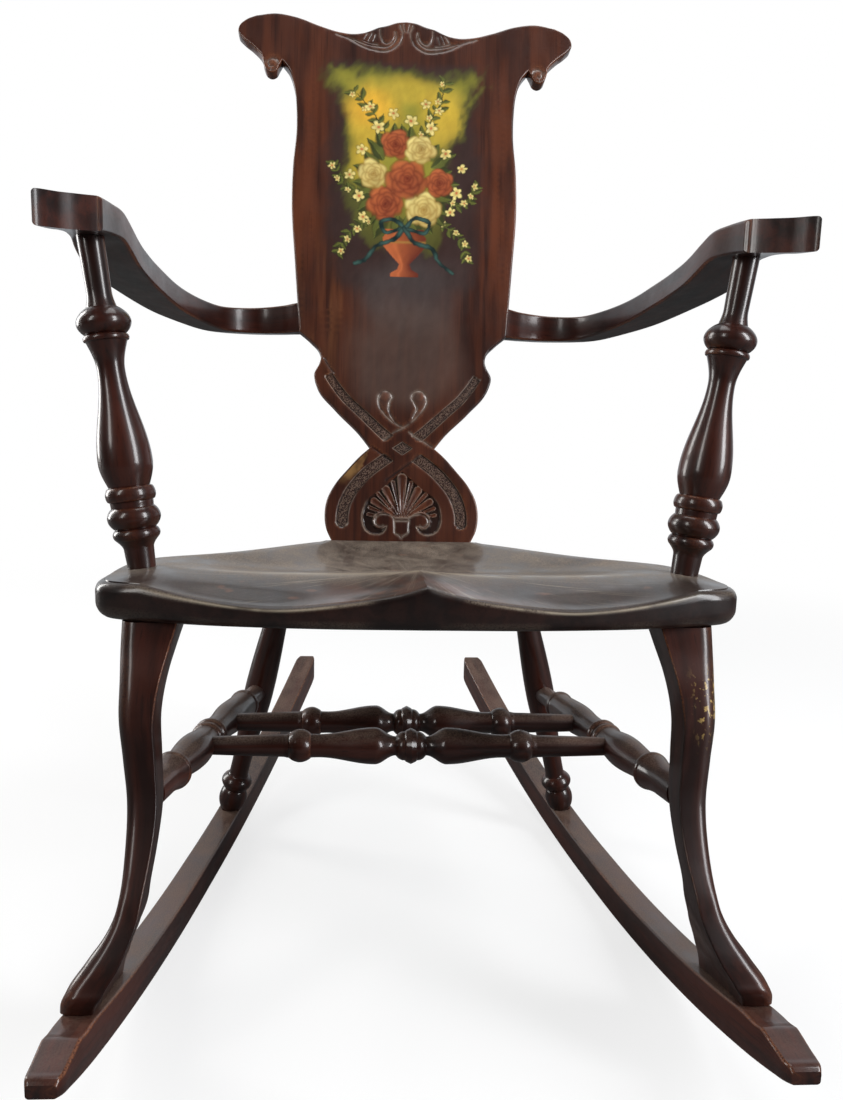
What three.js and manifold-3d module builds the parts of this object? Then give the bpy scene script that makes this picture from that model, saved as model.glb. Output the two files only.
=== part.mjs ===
// A Boston rocking chair in millimetres, +Z up, the sitter facing -Y and +X at the sitter's left hand.
// Sizes are measured from the line of the seat's front corners; the last group moves the whole chair so
// that its origin lies on the floor, midway between the ends of the rockers.
import * as THREE from "three";
import { mergeVertices } from "three/addons/utils/BufferGeometryUtils.js";
import Module from "manifold-3d";

const wasm = await Module();
wasm.setup();

// Fits, shared by every joint
const fitGap = 0.3; // left between two pieces that touch
const overrun = 2; // how far a cutter runs past the wood that it cuts
const weldDistance = 1e-4;

// Rockers
const rockFrontRadius = 1116; // of the underside ahead of the floor contact
const rockRearRadius = 1050; // and behind it
const rockContact = 207; // where the chair starts to bear on the floor
const rockFlat = 22; // the short flat that it rests on
const rockerWidth = 29;
const rockerDepth = 31;
const rockerFrontRun = 405; // from the floor contact to the front tip
const rockerRearRun = 455; // from the flat's rear end to the tail
const rockerFrontSpread = 277; // outer face from the middle of the chair, at the tip
const rockerRearSpread = 148; // the same at the tail
const rockerBow = 28; // how far the rocker bends outwards in plan
const rockerEase = 2; // softened long edges
const rockerStepAngle = THREE.MathUtils.degToRad(3);

// Seat
const seatHeight = 357; // underside at the front corners
const seatThickness = 38;
const seatHalfWidth = 280;
const seatFrontBow = 40; // how far the front edge bows ahead of its corners
const seatRun = 388; // from the front corners to the back edge
const seatSlopeShare = 0.05; // fall of the plank towards the back
const seatEdgeRound = 10; // under the rim
const thighDip = 16; // the two hollows in the front edge
const thighCrest = 100; // where a hollow is widest open, from the middle
const thighFade = 135; // how far it runs out sideways
const pommelWidth = 38; // half width of the ridge between the hollows
const rimRoll = 5; // how far the top rolls down to the rim
const rimDrop = 2.5; // further down, at the top's rounded edge
const rollRun = 75; // from the front corners back to the crest of the rolled front
const dishDepth = 14; // the sitter's hollow below the plank's top
const dishFront = 55; // where the hollow starts
const dishFull = 170; // where it is at its full depth

// Back splat, a board that leans back behind the seat
const splatLean = THREE.MathUtils.degToRad(13.07);
const splatThickness = 19;
const splatLength = 682.3; // up the board, from the seat's top to the finial
const splatHalfWidth = 219; // to the tips of the ears
const splatLap = 30; // down behind the seat's back edge

// Arms
const armHalfSpread = 326; // widest point of an arm from the middle
const armFront = 25; // how far the hands reach ahead of the seat's front corners
const armHeight = 679; // underside above the floor, at its crest
const armFall = 49; // from the crest down to the lap on the splat
const armThickness = 25.5;
const armLap = 33.5; // wood behind the splat, where the screws go in
const armEase = 3;

// Turned arm posts
const postRadius = 23.8;
const postFootSpread = 251; // on the seat, from the middle
const postFootBack = 78; // behind the front corners
const postTopInset = 35; // in from the arm's widest point
const postTopSpread = armHalfSpread - postTopInset;
const postTopBack = 88;
const postSeatDepth = 18; // of the tenon in the seat
const postArmDepth = 14; // of the tenon in the arm

// Front legs, cabriole
const legTopSpread = 252; // outer face at the seat
const legTopSetback = -5; // front face behind the seat's front corners
const legWidth = 47; // at the seat, across the chair
const legDepth = 47; // at the seat, front to back
const legKick = 118; // how far the toe stands ahead of the knee
const legBow = 22; // how far the shin bends in from the line from seat to toe
const legEase = 2.5;
const dowelRadius = 6;
const dowelReach = 16; // into each of the two pieces that it joins

// Rear legs, turned
const rearLegRadius = 18.5;
const rearFootBack = 343; // on the rocker, behind the front corners
const rearTopSpread = 136; // under the seat
const rearTopBack = 305;
const rearSeatDepth = 20; // of the tenon in the seat
const footTenonRadius = 8;
const footTenonDepth = 14;

// Stretchers, turned
const sideRadius = 17.5;
const sideFrontHeight = 212; // axis above the floor at the front leg
const sideRearHeight = 195; // and at the rear leg
const sideTenonRadius = 8.5;
const sideTenonDepth = 11;
const crossRadius = 18;
const crossEndRadius = 8.8;
const crossTenonDepth = 9;
const crossPlaceShares = [0.374, 0.611]; // along a side stretcher, front one first

// Wood screws
const screwRadius = 2.2;
const screwHeadRadius = 4.4;
const screwHeadDepth = 3;
const screwBite = 14; // length in the second piece

const turnSides = 12;
const boreSides = 16;

const at = (x, y, z) => new THREE.Vector3(x, y, z);
const mix = THREE.MathUtils.lerp;
const ease = (x, low, high) => THREE.MathUtils.smoothstep(x, low, high);

// Solids

function toSolid(geometry) {
  const bare = geometry.clone();
  bare.deleteAttribute("normal");
  bare.deleteAttribute("uv");
  const merged = mergeVertices(bare, weldDistance);
  const corners = Array.from(merged.index.array);
  const faces = [];
  for (let i = 0; i < corners.length; i += 3) {
    const [a, b, c] = corners.slice(i, i + 3);
    if (a !== b && b !== c && c !== a) faces.push([a, b, c]);
  }
  const build = (triangles) =>
    new wasm.Manifold(
      new wasm.Mesh({
        numProp: 3,
        vertProperties: merged.attributes.position.array,
        triVerts: new Uint32Array(triangles.flat()),
      }),
    );
  const solid = build(faces);
  return solid.volume() > 0 ? solid : build(faces.map(([a, b, c]) => [a, c, b]));
}

function fromPoints(points, faces) {
  const geometry = new THREE.BufferGeometry();
  const numbers = points.flatMap((p) => [p.x, p.y, p.z]);
  geometry.setAttribute("position", new THREE.Float32BufferAttribute(numbers, 3));
  geometry.setIndex(faces.flat());
  return toSolid(geometry);
}

// Skins a row of rings with as many points each, and closes both ends with fans.
function loft(rings) {
  const count = rings[0].length;
  const faces = [];
  for (let k = 0; k + 1 < rings.length; k += 1) {
    for (let i = 0; i < count; i += 1) {
      const a = k * count + i;
      const b = k * count + ((i + 1) % count);
      faces.push([a, b, b + count], [a, b + count, a + count]);
    }
  }
  const last = (rings.length - 1) * count;
  for (let i = 1; i + 1 < count; i += 1) {
    faces.push([0, i + 1, i], [last, last + i, last + i + 1]);
  }
  return fromPoints(rings.flat(), faces);
}

// The section of a bar: four corners in order, each softened into two points.
function barSection(corners, softening) {
  return corners.flatMap((corner, i) => {
    const before = corners[(i + 3) % 4];
    const after = corners[(i + 1) % 4];
    return [before, after].map((other) =>
      corner.clone().add(other.clone().sub(corner).setLength(softening)),
    );
  });
}

// Turns a piece on the line from start to end. The profile holds radius and distance from start.
function turned(profile, start, end, sides = turnSides) {
  const lathe = new THREE.LatheGeometry(profile, sides);
  const direction = end.clone().sub(start).normalize();
  const turn = new THREE.Quaternion().setFromUnitVectors(at(0, 1, 0), direction);
  lathe.applyMatrix4(new THREE.Matrix4().compose(start, turn, at(1, 1, 1)));
  return toSolid(lathe);
}

function rod(start, end, radius, sides = turnSides) {
  const rodGeometry = new THREE.CylinderGeometry(radius, radius, start.distanceTo(end), sides);
  const direction = end.clone().sub(start).normalize();
  const turn = new THREE.Quaternion().setFromUnitVectors(at(0, 1, 0), direction);
  const middle = start.clone().lerp(end, 0.5);
  rodGeometry.applyMatrix4(new THREE.Matrix4().compose(middle, turn, at(1, 1, 1)));
  return toSolid(rodGeometry);
}

// A round cutter whose flats clear a rod of the given radius by the fit gap.
function bore(start, end, radius) {
  return rod(start, end, (radius + fitGap) / Math.cos(Math.PI / boreSides), boreSides);
}

// A point past `end`, seen from `start`, by so much.
function beyond(start, end, distance) {
  return end.clone().add(end.clone().sub(start).setLength(distance));
}

// Draws a turned profile from its cuts. Each cut has its form, the share of the length where it ends,
// its radius there as a share of the greatest radius, and how much a bead swells between its ends.
const cutSteps = { line: 1, wave: 3, bead: 4 };

function turning(length, radius, startShare, cuts) {
  const points = [];
  let along = 0;
  let share = startShare;
  for (const [form, endAlong, endShare, swell = 0] of cuts) {
    const steps = cutSteps[form];
    for (let k = 1; k <= steps; k += 1) {
      const t = k / steps;
      const blend = form === "wave" ? (1 - Math.cos(Math.PI * t)) / 2 : t;
      const wide = mix(share, endShare, blend) + swell * Math.sin(Math.PI * t);
      points.push(new THREE.Vector2(wide * radius, mix(along, endAlong, t) * length));
    }
    along = endAlong;
    share = endShare;
  }
  return [new THREE.Vector2(startShare * radius, 0), ...points];
}

// Closes an open profile on the axis.
function closed(profile) {
  const first = profile[0];
  const last = profile[profile.length - 1];
  return [new THREE.Vector2(0, first.y), ...profile, new THREE.Vector2(0, last.y)];
}

function shift(profile, distance) {
  return profile.map((p) => new THREE.Vector2(p.x, p.y + distance));
}

// The same cuts run from both ends to the middle.
function bothWays(profile, length) {
  const back = profile.map((p) => new THREE.Vector2(p.x, length - p.y)).reverse();
  return [...profile, ...back.slice(1)];
}

function swollen(profile, extra) {
  return profile.map((p) => new THREE.Vector2(p.x + extra, p.y));
}

// The body left when offcuts beyond a neighbour are dropped.
function largest(solid) {
  const bodies = solid.decompose();
  return bodies.reduce((best, body) => (body.volume() > best.volume() ? body : best));
}

// Rockers: an arc in side view, a gentle bow in plan

const rockerTipBack = rockContact - rockerFrontRun;
const rockerTailBack = rockContact + rockFlat + rockerRearRun;

// The arc that a place belongs to: its radius, and where its centre stands.
function rockArc(behind) {
  const radius = behind ? rockRearRadius : rockFrontRadius;
  const centreBack = behind ? rockContact + rockFlat : rockContact;
  return { radius, centreBack, centreHeight: radius * Math.cos(rockerStepAngle / 2) };
}

function rockerOuter(y) {
  const t = (y - rockerTipBack) / (rockerTailBack - rockerTipBack);
  return mix(rockerFrontSpread, rockerRearSpread, t) + 4 * rockerBow * t * (1 - t);
}

function rockerMiddle(y) {
  return rockerOuter(y) - rockerWidth / 2;
}

function rockerTop(y) {
  const { radius, centreBack, centreHeight } = rockArc(y > rockContact + rockFlat);
  const over = radius - rockerDepth;
  return centreHeight - Math.sqrt(over * over - (y - centreBack) ** 2);
}

// Depth of the nose as shares of the rocker's depth, at shares of the front run back from the tip: a
// thin tip, a long chamfer up to a hump, a shallow scoop and the plain bar under the toe.
const noseShares = [
  [0, 0.5],
  [0.07, 1],
  [0.085, 1.04],
  [0.11, 0.99],
  [0.14, 0.95],
  [0.19, 1],
];
const tailShares = [
  [0, 0.7],
  [0.012, 0.92],
  [0.03, 1],
];
const tipNarrowShares = [
  [0, 0.88],
  [0.07, 0.97],
  [0.14, 1],
];

function shareAt(table, place) {
  const above = table.findIndex(([there]) => there >= place);
  if (above < 0) return table[table.length - 1][1];
  if (above === 0) return table[0][1];
  const [lowPlace, low] = table[above - 1];
  const [highPlace, high] = table[above];
  return mix(low, high, (place - lowPlace) / (highPlace - lowPlace));
}

const rockerFrontAngle = Math.asin(rockerFrontRun / rockFrontRadius);
const rockerRearAngle = Math.asin(rockerRearRun / rockRearRadius);

function rockerAngles() {
  const front = -rockerFrontAngle;
  const rear = rockerRearAngle;
  const noseAngles = noseShares.map(([share]) => front - front * share);
  const tailAngles = tailShares.map(([share]) => rear - rear * share).reverse();
  const half = rockerStepAngle / 2;
  const angles = [...noseAngles];
  const firstStep = Math.ceil((noseAngles[noseAngles.length - 1] + rockerStepAngle - half) / rockerStepAngle);
  for (let k = firstStep; half + k * rockerStepAngle < tailAngles[0] - half; k += 1) {
    angles.push(half + k * rockerStepAngle);
  }
  return [...angles, ...tailAngles];
}

function rockerSection(angle, side, grow) {
  const { radius, centreBack, centreHeight } = rockArc(angle > 0);
  const fromTip = (rockerFrontAngle + angle) / rockerFrontAngle;
  const fromTail = (rockerRearAngle - angle) / rockerRearAngle;
  const topShare = angle < 0 ? shareAt(noseShares, fromTip) : 1;
  const tailShare = angle > 0 ? shareAt(tailShares, fromTail) : 1;
  const lowRadius = radius - (1 - tailShare) * rockerDepth + grow;
  const highRadius = radius - rockerDepth * topShare - grow;
  const width = rockerWidth * (angle < 0 ? shareAt(tipNarrowShares, fromTip) : 1);
  const place = (reach, inward) => {
    const y = centreBack + reach * Math.sin(angle);
    const outer = rockerMiddle(y) + width / 2 + grow - inward * (width + 2 * grow);
    return at(side * outer, y, centreHeight - reach * Math.cos(angle));
  };
  const corners = [place(lowRadius, 0), place(highRadius, 0), place(highRadius, 1), place(lowRadius, 1)];
  return barSection(corners, rockerEase);
}

function rockerBody(side, grow = 0) {
  return loft(rockerAngles().map((angle) => rockerSection(angle, side, grow)));
}

// Splat: the board's own frame has its origin on the front face at the seat's top

const splatFoot = at(0, seatRun, seatHeight + seatThickness - rimRoll - seatSlopeShare * seatRun);
const splatUp = at(0, Math.sin(splatLean), Math.cos(splatLean));
const splatOut = at(0, -Math.cos(splatLean), Math.sin(splatLean));

function onSplat(x, up, out) {
  const point = splatFoot.clone().addScaledVector(splatUp, up).addScaledVector(splatOut, out);
  return at(x, point.y, point.z);
}

// How far back the board's rear face lies at a height above the floor.
function splatBackAt(z) {
  const face = splatFoot.y + (z - splatFoot.z) * Math.tan(splatLean);
  return face + splatThickness / Math.cos(splatLean);
}

// Half the outline, from the foot to the finial, in runs that meet at sharp corners. Points are shares
// of the half width and of the rise: foot and waist, strap end, board, ear, crest.
const splatRuns = [
  [[0.402, 0], [0.433, 0.022], [0.443, 0.05], [0.431, 0.075], [0.388, 0.103], [0.315, 0.132], [0.235, 0.16], [0.185, 0.174]],
  [[0.185, 0.174], [0.249, 0.2], [0.39, 0.245], [0.5, 0.288], [0.516, 0.31], [0.489, 0.328]],
  [[0.489, 0.328], [0.479, 0.34], [0.491, 0.355], [0.543, 0.374], [0.606, 0.391]],
  [[0.606, 0.391], [0.638, 0.516], [0.664, 0.64], [0.66, 0.71], [0.643, 0.781], [0.646, 0.82], [0.662, 0.864], [0.696, 0.8965], [0.735, 0.913]],
  [[0.735, 0.913], [0.753, 0.902], [0.769, 0.892], [0.797, 0.888], [0.827, 0.8925], [0.843, 0.9035],
   [0.853, 0.9175], [0.911, 0.939], [0.966, 0.953], [0.997, 0.965], [0.992, 0.977], [0.95, 0.991], [0.893, 0.9995]],
  [[0.893, 0.9995], [0.776, 1.0054], [0.653, 0.9996], [0.511, 0.984], [0.397, 0.974], [0.315, 0.9717], [0.251, 0.975], [0.169, 0.9864]],
  [[0.169, 0.9864], [0.11, 0.9915], [0.059, 0.9975], [0, 1]],
];
const splatRunSteps = [11, 8, 5, 13, 18, 11, 4];

function smooth(points, steps) {
  const curve = new THREE.CatmullRomCurve3(points.map(([x, y]) => at(x, y, 0)), false, "centripetal");
  return curve.getPoints(steps).map((p) => [p.x, p.y]);
}

function splatBody(grow = 0) {
  const half = splatRuns.flatMap((run, i) => smooth(run, splatRunSteps[i]).slice(i ? 1 : 0));
  const right = half.map(([u, v]) => new THREE.Vector2(u * splatHalfWidth, v * splatLength));
  const foot = new THREE.Vector2(right[0].x, -splatLap - grow);
  const side = [foot, ...right];
  const other = side.slice(0, -1).reverse().map((p) => new THREE.Vector2(-p.x, p.y));
  const board = new THREE.ExtrudeGeometry(new THREE.Shape([...side, ...other]), {
    depth: splatThickness + 2 * grow,
    bevelEnabled: false,
    curveSegments: 1,
  });
  const frame = new THREE.Matrix4().makeBasis(at(1, 0, 0), splatUp, splatOut);
  frame.setPosition(onSplat(0, 0, -splatThickness - grow));
  return toSolid(board.applyMatrix4(frame));
}

// Seat: a plank with a saddled top, in rings about its middle

const seatDepthAll = seatFrontBow + seatRun;
const seatSideShares = [
  [0, 0],
  [0.32, 0.006],
  [0.61, 0.03],
  [0.83, 0.062],
  [0.92, 0.08],
  [0.968, 0.101],
  [0.988, 0.131],
  [0.995, 0.199],
  [1, 0.315],
  [0.989, 0.409],
  [0.954, 0.486],
  [0.886, 0.537],
  [0.804, 0.579],
  [0.679, 0.661],
  [0.554, 0.776],
  [0.464, 0.869],
];
const seatBackShares = [
  [0.464, 0.869],
  [0.404, 0.925],
  [0.365, 0.96],
  [0.345, 1],
];
const seatSideSteps = 26;
const seatBackSteps = 3;
const seatRingShares = [0.22, 0.42, 0.6, 0.75, 0.87, 0.95];

function seatUnder(y) {
  return seatHeight - seatSlopeShare * y;
}

function clampShare(x) {
  return Math.min(Math.max(x, 0), 1);
}

const rollFrontShare = 0.72; // of the hollows' depth, gone by the crest of the rolled front
const dishEdgeShares = [0.45, 0.98]; // of the way out, from the dish's floor to its rim
const rimStartShare = 0.8; // of the way out, where the top starts to roll down

// The top's height. `ring` is how far out the point lies: 0 in the middle, 1 on the outline.
function seatTop(x, y, ring) {
  const across = Math.abs(x);
  const open = 1 - Math.exp(-across / pommelWidth);
  const fade = 1 - clampShare((across - thighCrest) / thighFade) ** 2;
  const gone = mix(ease(y, rollRun, dishFull), ease(y, -seatFrontBow / 2, rollRun), rollFrontShare);
  const roll = 1 - gone;
  const dip = thighDip * open * fade * roll;
  const dish = dishDepth * (1 - ease(ring, ...dishEdgeShares)) * ease(y, dishFront, dishFull);
  const flank = Math.max(ease(across, pommelWidth, thighFade), ease(y, rollRun, dishFull));
  const rim = rimRoll * ease(ring, rimStartShare, 1) * flank;
  return seatUnder(y) + seatThickness - dip - dish - rim;
}

function seatOutline() {
  const side = smooth(seatSideShares, seatSideSteps);
  const back = smooth(seatBackShares, seatBackSteps).slice(1);
  const place = ([u, v]) => [u * seatHalfWidth, v * seatDepthAll - seatFrontBow];
  const right = [...side, ...back].map(place);
  const left = right.slice(1).reverse().map(([x, y]) => [-x, y]);
  return [...right, [0, seatRun], ...left];
}

function seatBody() {
  const outline = seatOutline();
  const middle = [0, seatRun / 2];
  const inset = (share) => outline.map(([x, y]) => [mix(middle[0], x, share), mix(middle[1], y, share)]);
  const edgeShare = 1 - seatEdgeRound / seatHalfWidth;
  const topRing = (share) => inset(share).map(([x, y]) => at(x, y, seatTop(x, y, share)));
  const bottomRing = (share, up) => inset(share).map(([x, y]) => at(x, y, seatUnder(y) + up));
  const rim = inset(1).map(([x, y]) => at(x, y, seatTop(x, y, 1) - rimDrop));
  const rings = [
    ...seatRingShares.map(topRing),
    topRing(edgeShare),
    rim,
    bottomRing(1, seatEdgeRound),
    bottomRing(edgeShare, 0),
  ];
  return loft(rings);
}

// The space behind the seat's back edge, on the splat's lean.
function behindSeat() {
  const block = new THREE.BoxGeometry(2 * seatHalfWidth, 2 * seatThickness + splatLap, seatThickness);
  const frame = new THREE.Matrix4().makeBasis(at(1, 0, 0), splatUp, splatOut);
  frame.setPosition(onSplat(0, 0, fitGap - seatThickness / 2));
  return toSolid(block.applyMatrix4(frame));
}

// Front legs: rectangular sections from the sole to the seat. Each row has the height share, how far
// forward the front face stands as a share of the kick, the depth as a share of the depth at the seat,
// the inward bend as a share of the bow, and the width as a share of the width at the seat.
const legShares = [
  [0, 0.985, 1.95, -0.2, 0.67],
  [0.045, 1, 1.93, -0.1, 0.68],
  [0.075, 0.985, 1.85, 0.1, 0.66],
  [0.11, 0.924, 1.57, 0.42, 0.617],
  [0.16, 0.84, 1.16, 0.75, 0.52],
  [0.21, 0.76, 0.88, 0.95, 0.44],
  [0.26, 0.69, 0.74, 1, 0.41],
  [0.34, 0.53, 0.64, 0.95, 0.44],
  [0.47, 0.37, 0.61, 0.78, 0.52],
  [0.6, 0.29, 0.66, 0.42, 0.575],
  [0.72, 0.237, 0.75, 0.1, 0.635],
  [0.84, 0.15, 0.85, 0, 0.75],
  [0.92, 0.06, 0.93, -0.03, 0.9],
  [1, 0, 1, 0, 1.03],
];

const soleShare = 0.13; // of the height, over which the sole's slope fades out
const toeDowelShare = 0.9; // of the depth, from the toe's front face to its dowel
const shinShare = 0.31; // half the shin's depth at the side stretcher, as a share of the depth

const legToeBack = legTopSetback - legKick;
const legFootHeight = rockerTop(legToeBack);

function legSection(row, side, grow) {
  const [height, kick, depth, bow, width] = row;
  const front = legTopSetback - legKick * kick - grow;
  const back = front + legDepth * depth + 2 * grow;
  const middleTop = legTopSpread - legWidth / 2;
  const middleToe = rockerMiddle(legToeBack);
  const middle = mix(middleToe, middleTop, height) - legBow * bow;
  const half = (legWidth * width) / 2 + grow;
  const level = (y) => {
    const foot = mix(legFootHeight, rockerTop(y) - rockerDepth / 2, 1 - clampShare(height / soleShare));
    return mix(foot, seatUnder(y) - fitGap, height) + (height === 0 ? -grow : 0) + (height === 1 ? grow : 0);
  };
  const corners = [
    at(side * (middle + half), front, level(front)),
    at(side * (middle + half), back, level(back)),
    at(side * (middle - half), back, level(back)),
    at(side * (middle - half), front, level(front)),
  ];
  return barSection(corners, legEase);
}

function frontLegBody(side, grow = 0) {
  return loft(legShares.map((row) => legSection(row, side, grow)));
}

// Places shared by the pieces that meet there

function legTopMiddle(side) {
  const back = legTopSetback + legDepth / 2;
  return at(side * (legTopSpread - legWidth / 2), back, seatUnder(back));
}

function toeMiddle(side) {
  const back = legToeBack + legDepth * toeDowelShare;
  return at(side * rockerMiddle(back), back, rockerTop(back));
}

function rearFoot(side) {
  return at(side * rockerMiddle(rearFootBack), rearFootBack, rockerTop(rearFootBack));
}

function rearTop(side) {
  return at(side * rearTopSpread, rearTopBack, seatUnder(rearTopBack));
}

function onLine(start, end, z) {
  return start.clone().lerp(end, (z - start.z) / (end.z - start.z));
}

function postFoot(side) {
  return at(side * postFootSpread, postFootBack, seatTop(postFootSpread, postFootBack, 1));
}

function postTop(side) {
  return at(side * postTopSpread, postTopBack, armUnder(postTopBack));
}

// Middle of the front leg at a height, found on its own sections.
function legMiddleAt(z, side) {
  const share = (z - legFootHeight) / (seatUnder(legTopSetback) - legFootHeight);
  const above = legShares.findIndex(([height]) => height >= share);
  const t = (share - legShares[above - 1][0]) / (legShares[above][0] - legShares[above - 1][0]);
  const row = legShares[above].map((value, i) => mix(legShares[above - 1][i], value, t));
  const middle = mix(rockerMiddle(legToeBack), legTopSpread - legWidth / 2, row[0]) - legBow * row[3];
  const back = legTopSetback - legKick * row[1] + (legDepth * row[2]) / 2;
  return at(side * middle, back, z);
}

function sideEnds(side) {
  const rear = onLine(rearFoot(side), rearTop(side), sideRearHeight);
  return [legMiddleAt(sideFrontHeight, side), rear];
}

// Rear leg: ball foot, collar and a long swelling taper
const rearLegStart = 0.7;
const rearLegCuts = [
  ["bead", 0.085, 0.74, 0.19],
  ["bead", 0.15, 0.64, 0.33],
  ["wave", 0.18, 0.64],
  ["wave", 0.5, 0.93],
  ["bead", 1, 0.62, 0.03],
];

function rearLegBody(side, grow = 0) {
  const foot = rearFoot(side);
  const top = rearTop(side);
  const length = foot.distanceTo(top);
  const visible = turning(length, rearLegRadius, rearLegStart, rearLegCuts);
  const last = visible[visible.length - 1];
  const profile = [...visible, new THREE.Vector2(last.x, length + rearSeatDepth)];
  return turned(closed(swollen(profile, grow)), foot, top);
}

// Arm post: foot, ring and ball, cove, ring, vase, ring and bulb, neck
const postStart = 0.567;
const postCuts = [
  ["line", 0.079, 0.567],
  ["bead", 0.127, 0.62, 0.25],
  ["bead", 0.19, 0.74, 0.28],
  ["bead", 0.225, 0.74, -0.03],
  ["bead", 0.262, 0.735, 0.19],
  ["wave", 0.34, 1],
  ["wave", 0.61, 0.47],
  ["line", 0.685, 0.5],
  ["bead", 0.72, 0.6, 0.22],
  ["bead", 0.8, 0.62, 0.31],
  ["wave", 0.87, 0.46],
  ["line", 1, 0.46],
];

function postProfile(length) {
  const visible = turning(length, postRadius, postStart, postCuts);
  const first = visible[0];
  const last = visible[visible.length - 1];
  const low = new THREE.Vector2(first.x, -postSeatDepth);
  const high = new THREE.Vector2(last.x, length + postArmDepth);
  return shift([low, ...visible, high], postSeatDepth);
}

function postBody(side) {
  const foot = postFoot(side);
  const top = postTop(side);
  const start = beyond(top, foot, postSeatDepth);
  return turned(closed(postProfile(foot.distanceTo(top))), start, top);
}

// Side stretcher: collar, tapering baluster and a double ring in the middle. What would reach past the
// legs is cut away where the ends are coped to them.
const sideMiddleShare = 0.525; // where the double ring stands between the legs
const sideStart = 0.84;
const sideCuts = [
  ["line", 0.1, 0.9],
  ["line", 0.104, 0.76],
  ["wave", 0.34, 1],
  ["wave", 0.45, 0.78],
  ["bead", 0.475, 0.8, 0.16],
  ["bead", 0.5, 0.8, 0.19],
];

function sideBody(side) {
  const [front, rear] = sideEnds(side);
  const length = 2 * sideMiddleShare * front.distanceTo(rear);
  const profile = bothWays(turning(length, sideRadius, sideStart, sideCuts), length);
  const round = turned(closed(profile), front, rear);
  const coped = largest(round.subtract(frontLegBody(side, fitGap)).subtract(rearLegBody(side, fitGap)));
  return coped.add(sideTenon(side, 0, 0)).add(sideTenon(side, 1, 0));
}

// The round tenon at one end of a side stretcher, or the hole for it when it grows.
function sideTenon(side, end, grow) {
  const [front, rear] = sideEnds(side);
  const [here, there] = end ? [rear, front] : [front, rear];
  const skin = end ? rearLegRadius : legDepth * shinShare;
  const tip = here.clone().lerp(there, (skin - sideTenonDepth - grow) / here.distanceTo(there));
  const root = here.clone().lerp(there, (skin + 2 * sideTenonDepth) / here.distanceTo(there));
  return grow ? bore(tip, root, sideTenonRadius) : rod(tip, root, sideTenonRadius);
}

// Cross stretcher: tapered end, ring, baluster and a bead in the middle
const crossStart = crossEndRadius / crossRadius;
const crossCuts = [
  ["line", 0.165, 0.6],
  ["line", 0.19, 0.62],
  ["bead", 0.25, 0.63, 0.24],
  ["line", 0.27, 0.62],
  ["wave", 0.4, 1],
  ["wave", 0.463, 0.52],
  ["bead", 0.486, 0.74, 0.1],
  ["bead", 0.5, 0.93],
];

function crossEnd(place, side) {
  const [front, rear] = sideEnds(side);
  return front.clone().lerp(rear, crossPlaceShares[place]);
}

// Where a cross stretcher's tenon stops inside the side stretcher.
function crossTip(place, side, grow = 0) {
  const axis = crossEnd(place, side);
  return at(axis.x - side * (sideRadius - crossTenonDepth - grow), axis.y, axis.z);
}

function crossBody(place) {
  const [left, right] = [crossTip(place, 1), crossTip(place, -1)];
  const length = left.distanceTo(right);
  const profile = bothWays(turning(length, crossRadius, crossStart, crossCuts), length);
  return turned(closed(profile), left, right);
}

function crossHole(place, side) {
  const tip = crossTip(place, side, fitGap);
  const mouth = at(tip.x - side * (2 * sideRadius), tip.y, tip.z);
  return bore(tip, mouth, crossEndRadius + overrun / 4);
}

// Arms: stations along the arm, each with its inner and outer edge as shares of the half spread and of
// the arm's run. The hand is lobed, the arm narrows behind it and bends in to lap the splat.
const armShares = [
  [0.816, 0.1, 0.926, 0],
  [0.819, 0.13, 0.928, 0.07],
  [0.823, 0.185, 0.941, 0.16],
  [0.824, 0.26, 0.967, 0.25],
  [0.828, 0.35, 0.99, 0.33],
  [0.833, 0.445, 1, 0.43],
  [0.832, 0.54, 0.991, 0.53],
  [0.82, 0.67, 0.965, 0.65],
  [0.79, 0.78, 0.918, 0.77],
  [0.748, 0.87, 0.845, 0.882],
  [0.69, 0.935, 0.752, 0.975],
  [0.59, 0.965, 0.615, 1.03],
  [0.485, 0.945, 0.5, 1.01],
  [0.405, 0.915, 0.415, 0.98],
  [0.27, 0.9, 0.27, 0.98],
];
const armLapBackShare = 0.98; // rear face of the lap, along the run
const armScrewHeight = armHeight - armFall + armThickness / 2;
// From the front of the hand to the arm's rearmost point
const armRun = (splatBackAt(armScrewHeight) + armLap + armFront) / armLapBackShare;
// Height of the underside below its crest, as shares of the fall, at shares of the run.
const armUnderShares = [
  [0, 0.27],
  [0.06, 0.2],
  [0.11, 0.12],
  [0.2, 0.02],
  [0.27, 0],
  [0.32, 0.1],
  [0.37, 0.22],
  [0.5, 0.41],
  [0.61, 0.55],
  [0.75, 0.76],
  [0.84, 0.88],
  [0.93, 1],
];
const armSwellShares = [
  [0, 1],
  [0.6, 1],
  [0.8, 1.22],
  [1, 1.45],
];

function armUnder(y) {
  return armHeight - armFall * shareAt(armUnderShares, (y + armFront) / armRun);
}

function armSection(row, side, index) {
  const place = (xShare, yShare) => [armHalfSpread * xShare, armRun * yShare - armFront];
  const [innerX, innerY] = place(row[0], row[1]);
  const [outerX, outerY] = place(row[2], row[3]);
  const thickness = armThickness * shareAt(armSwellShares, index / (armShares.length - 1));
  const corners = [
    at(side * innerX, innerY, armUnder(innerY)),
    at(side * outerX, outerY, armUnder(outerY)),
    at(side * outerX, outerY, armUnder(outerY) + thickness),
    at(side * innerX, innerY, armUnder(innerY) + thickness),
  ];
  return barSection(corners, armEase);
}

function armBody(side) {
  const plank = loft(armShares.map((row, i) => armSection(row, side, i)));
  return largest(plank.subtract(splatBody(fitGap)));
}

// Fasteners

function dowelEnds(middle, direction, grow) {
  const step = direction.clone().setLength(dowelReach + grow);
  return [middle.clone().sub(step), middle.clone().add(step)];
}

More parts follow.
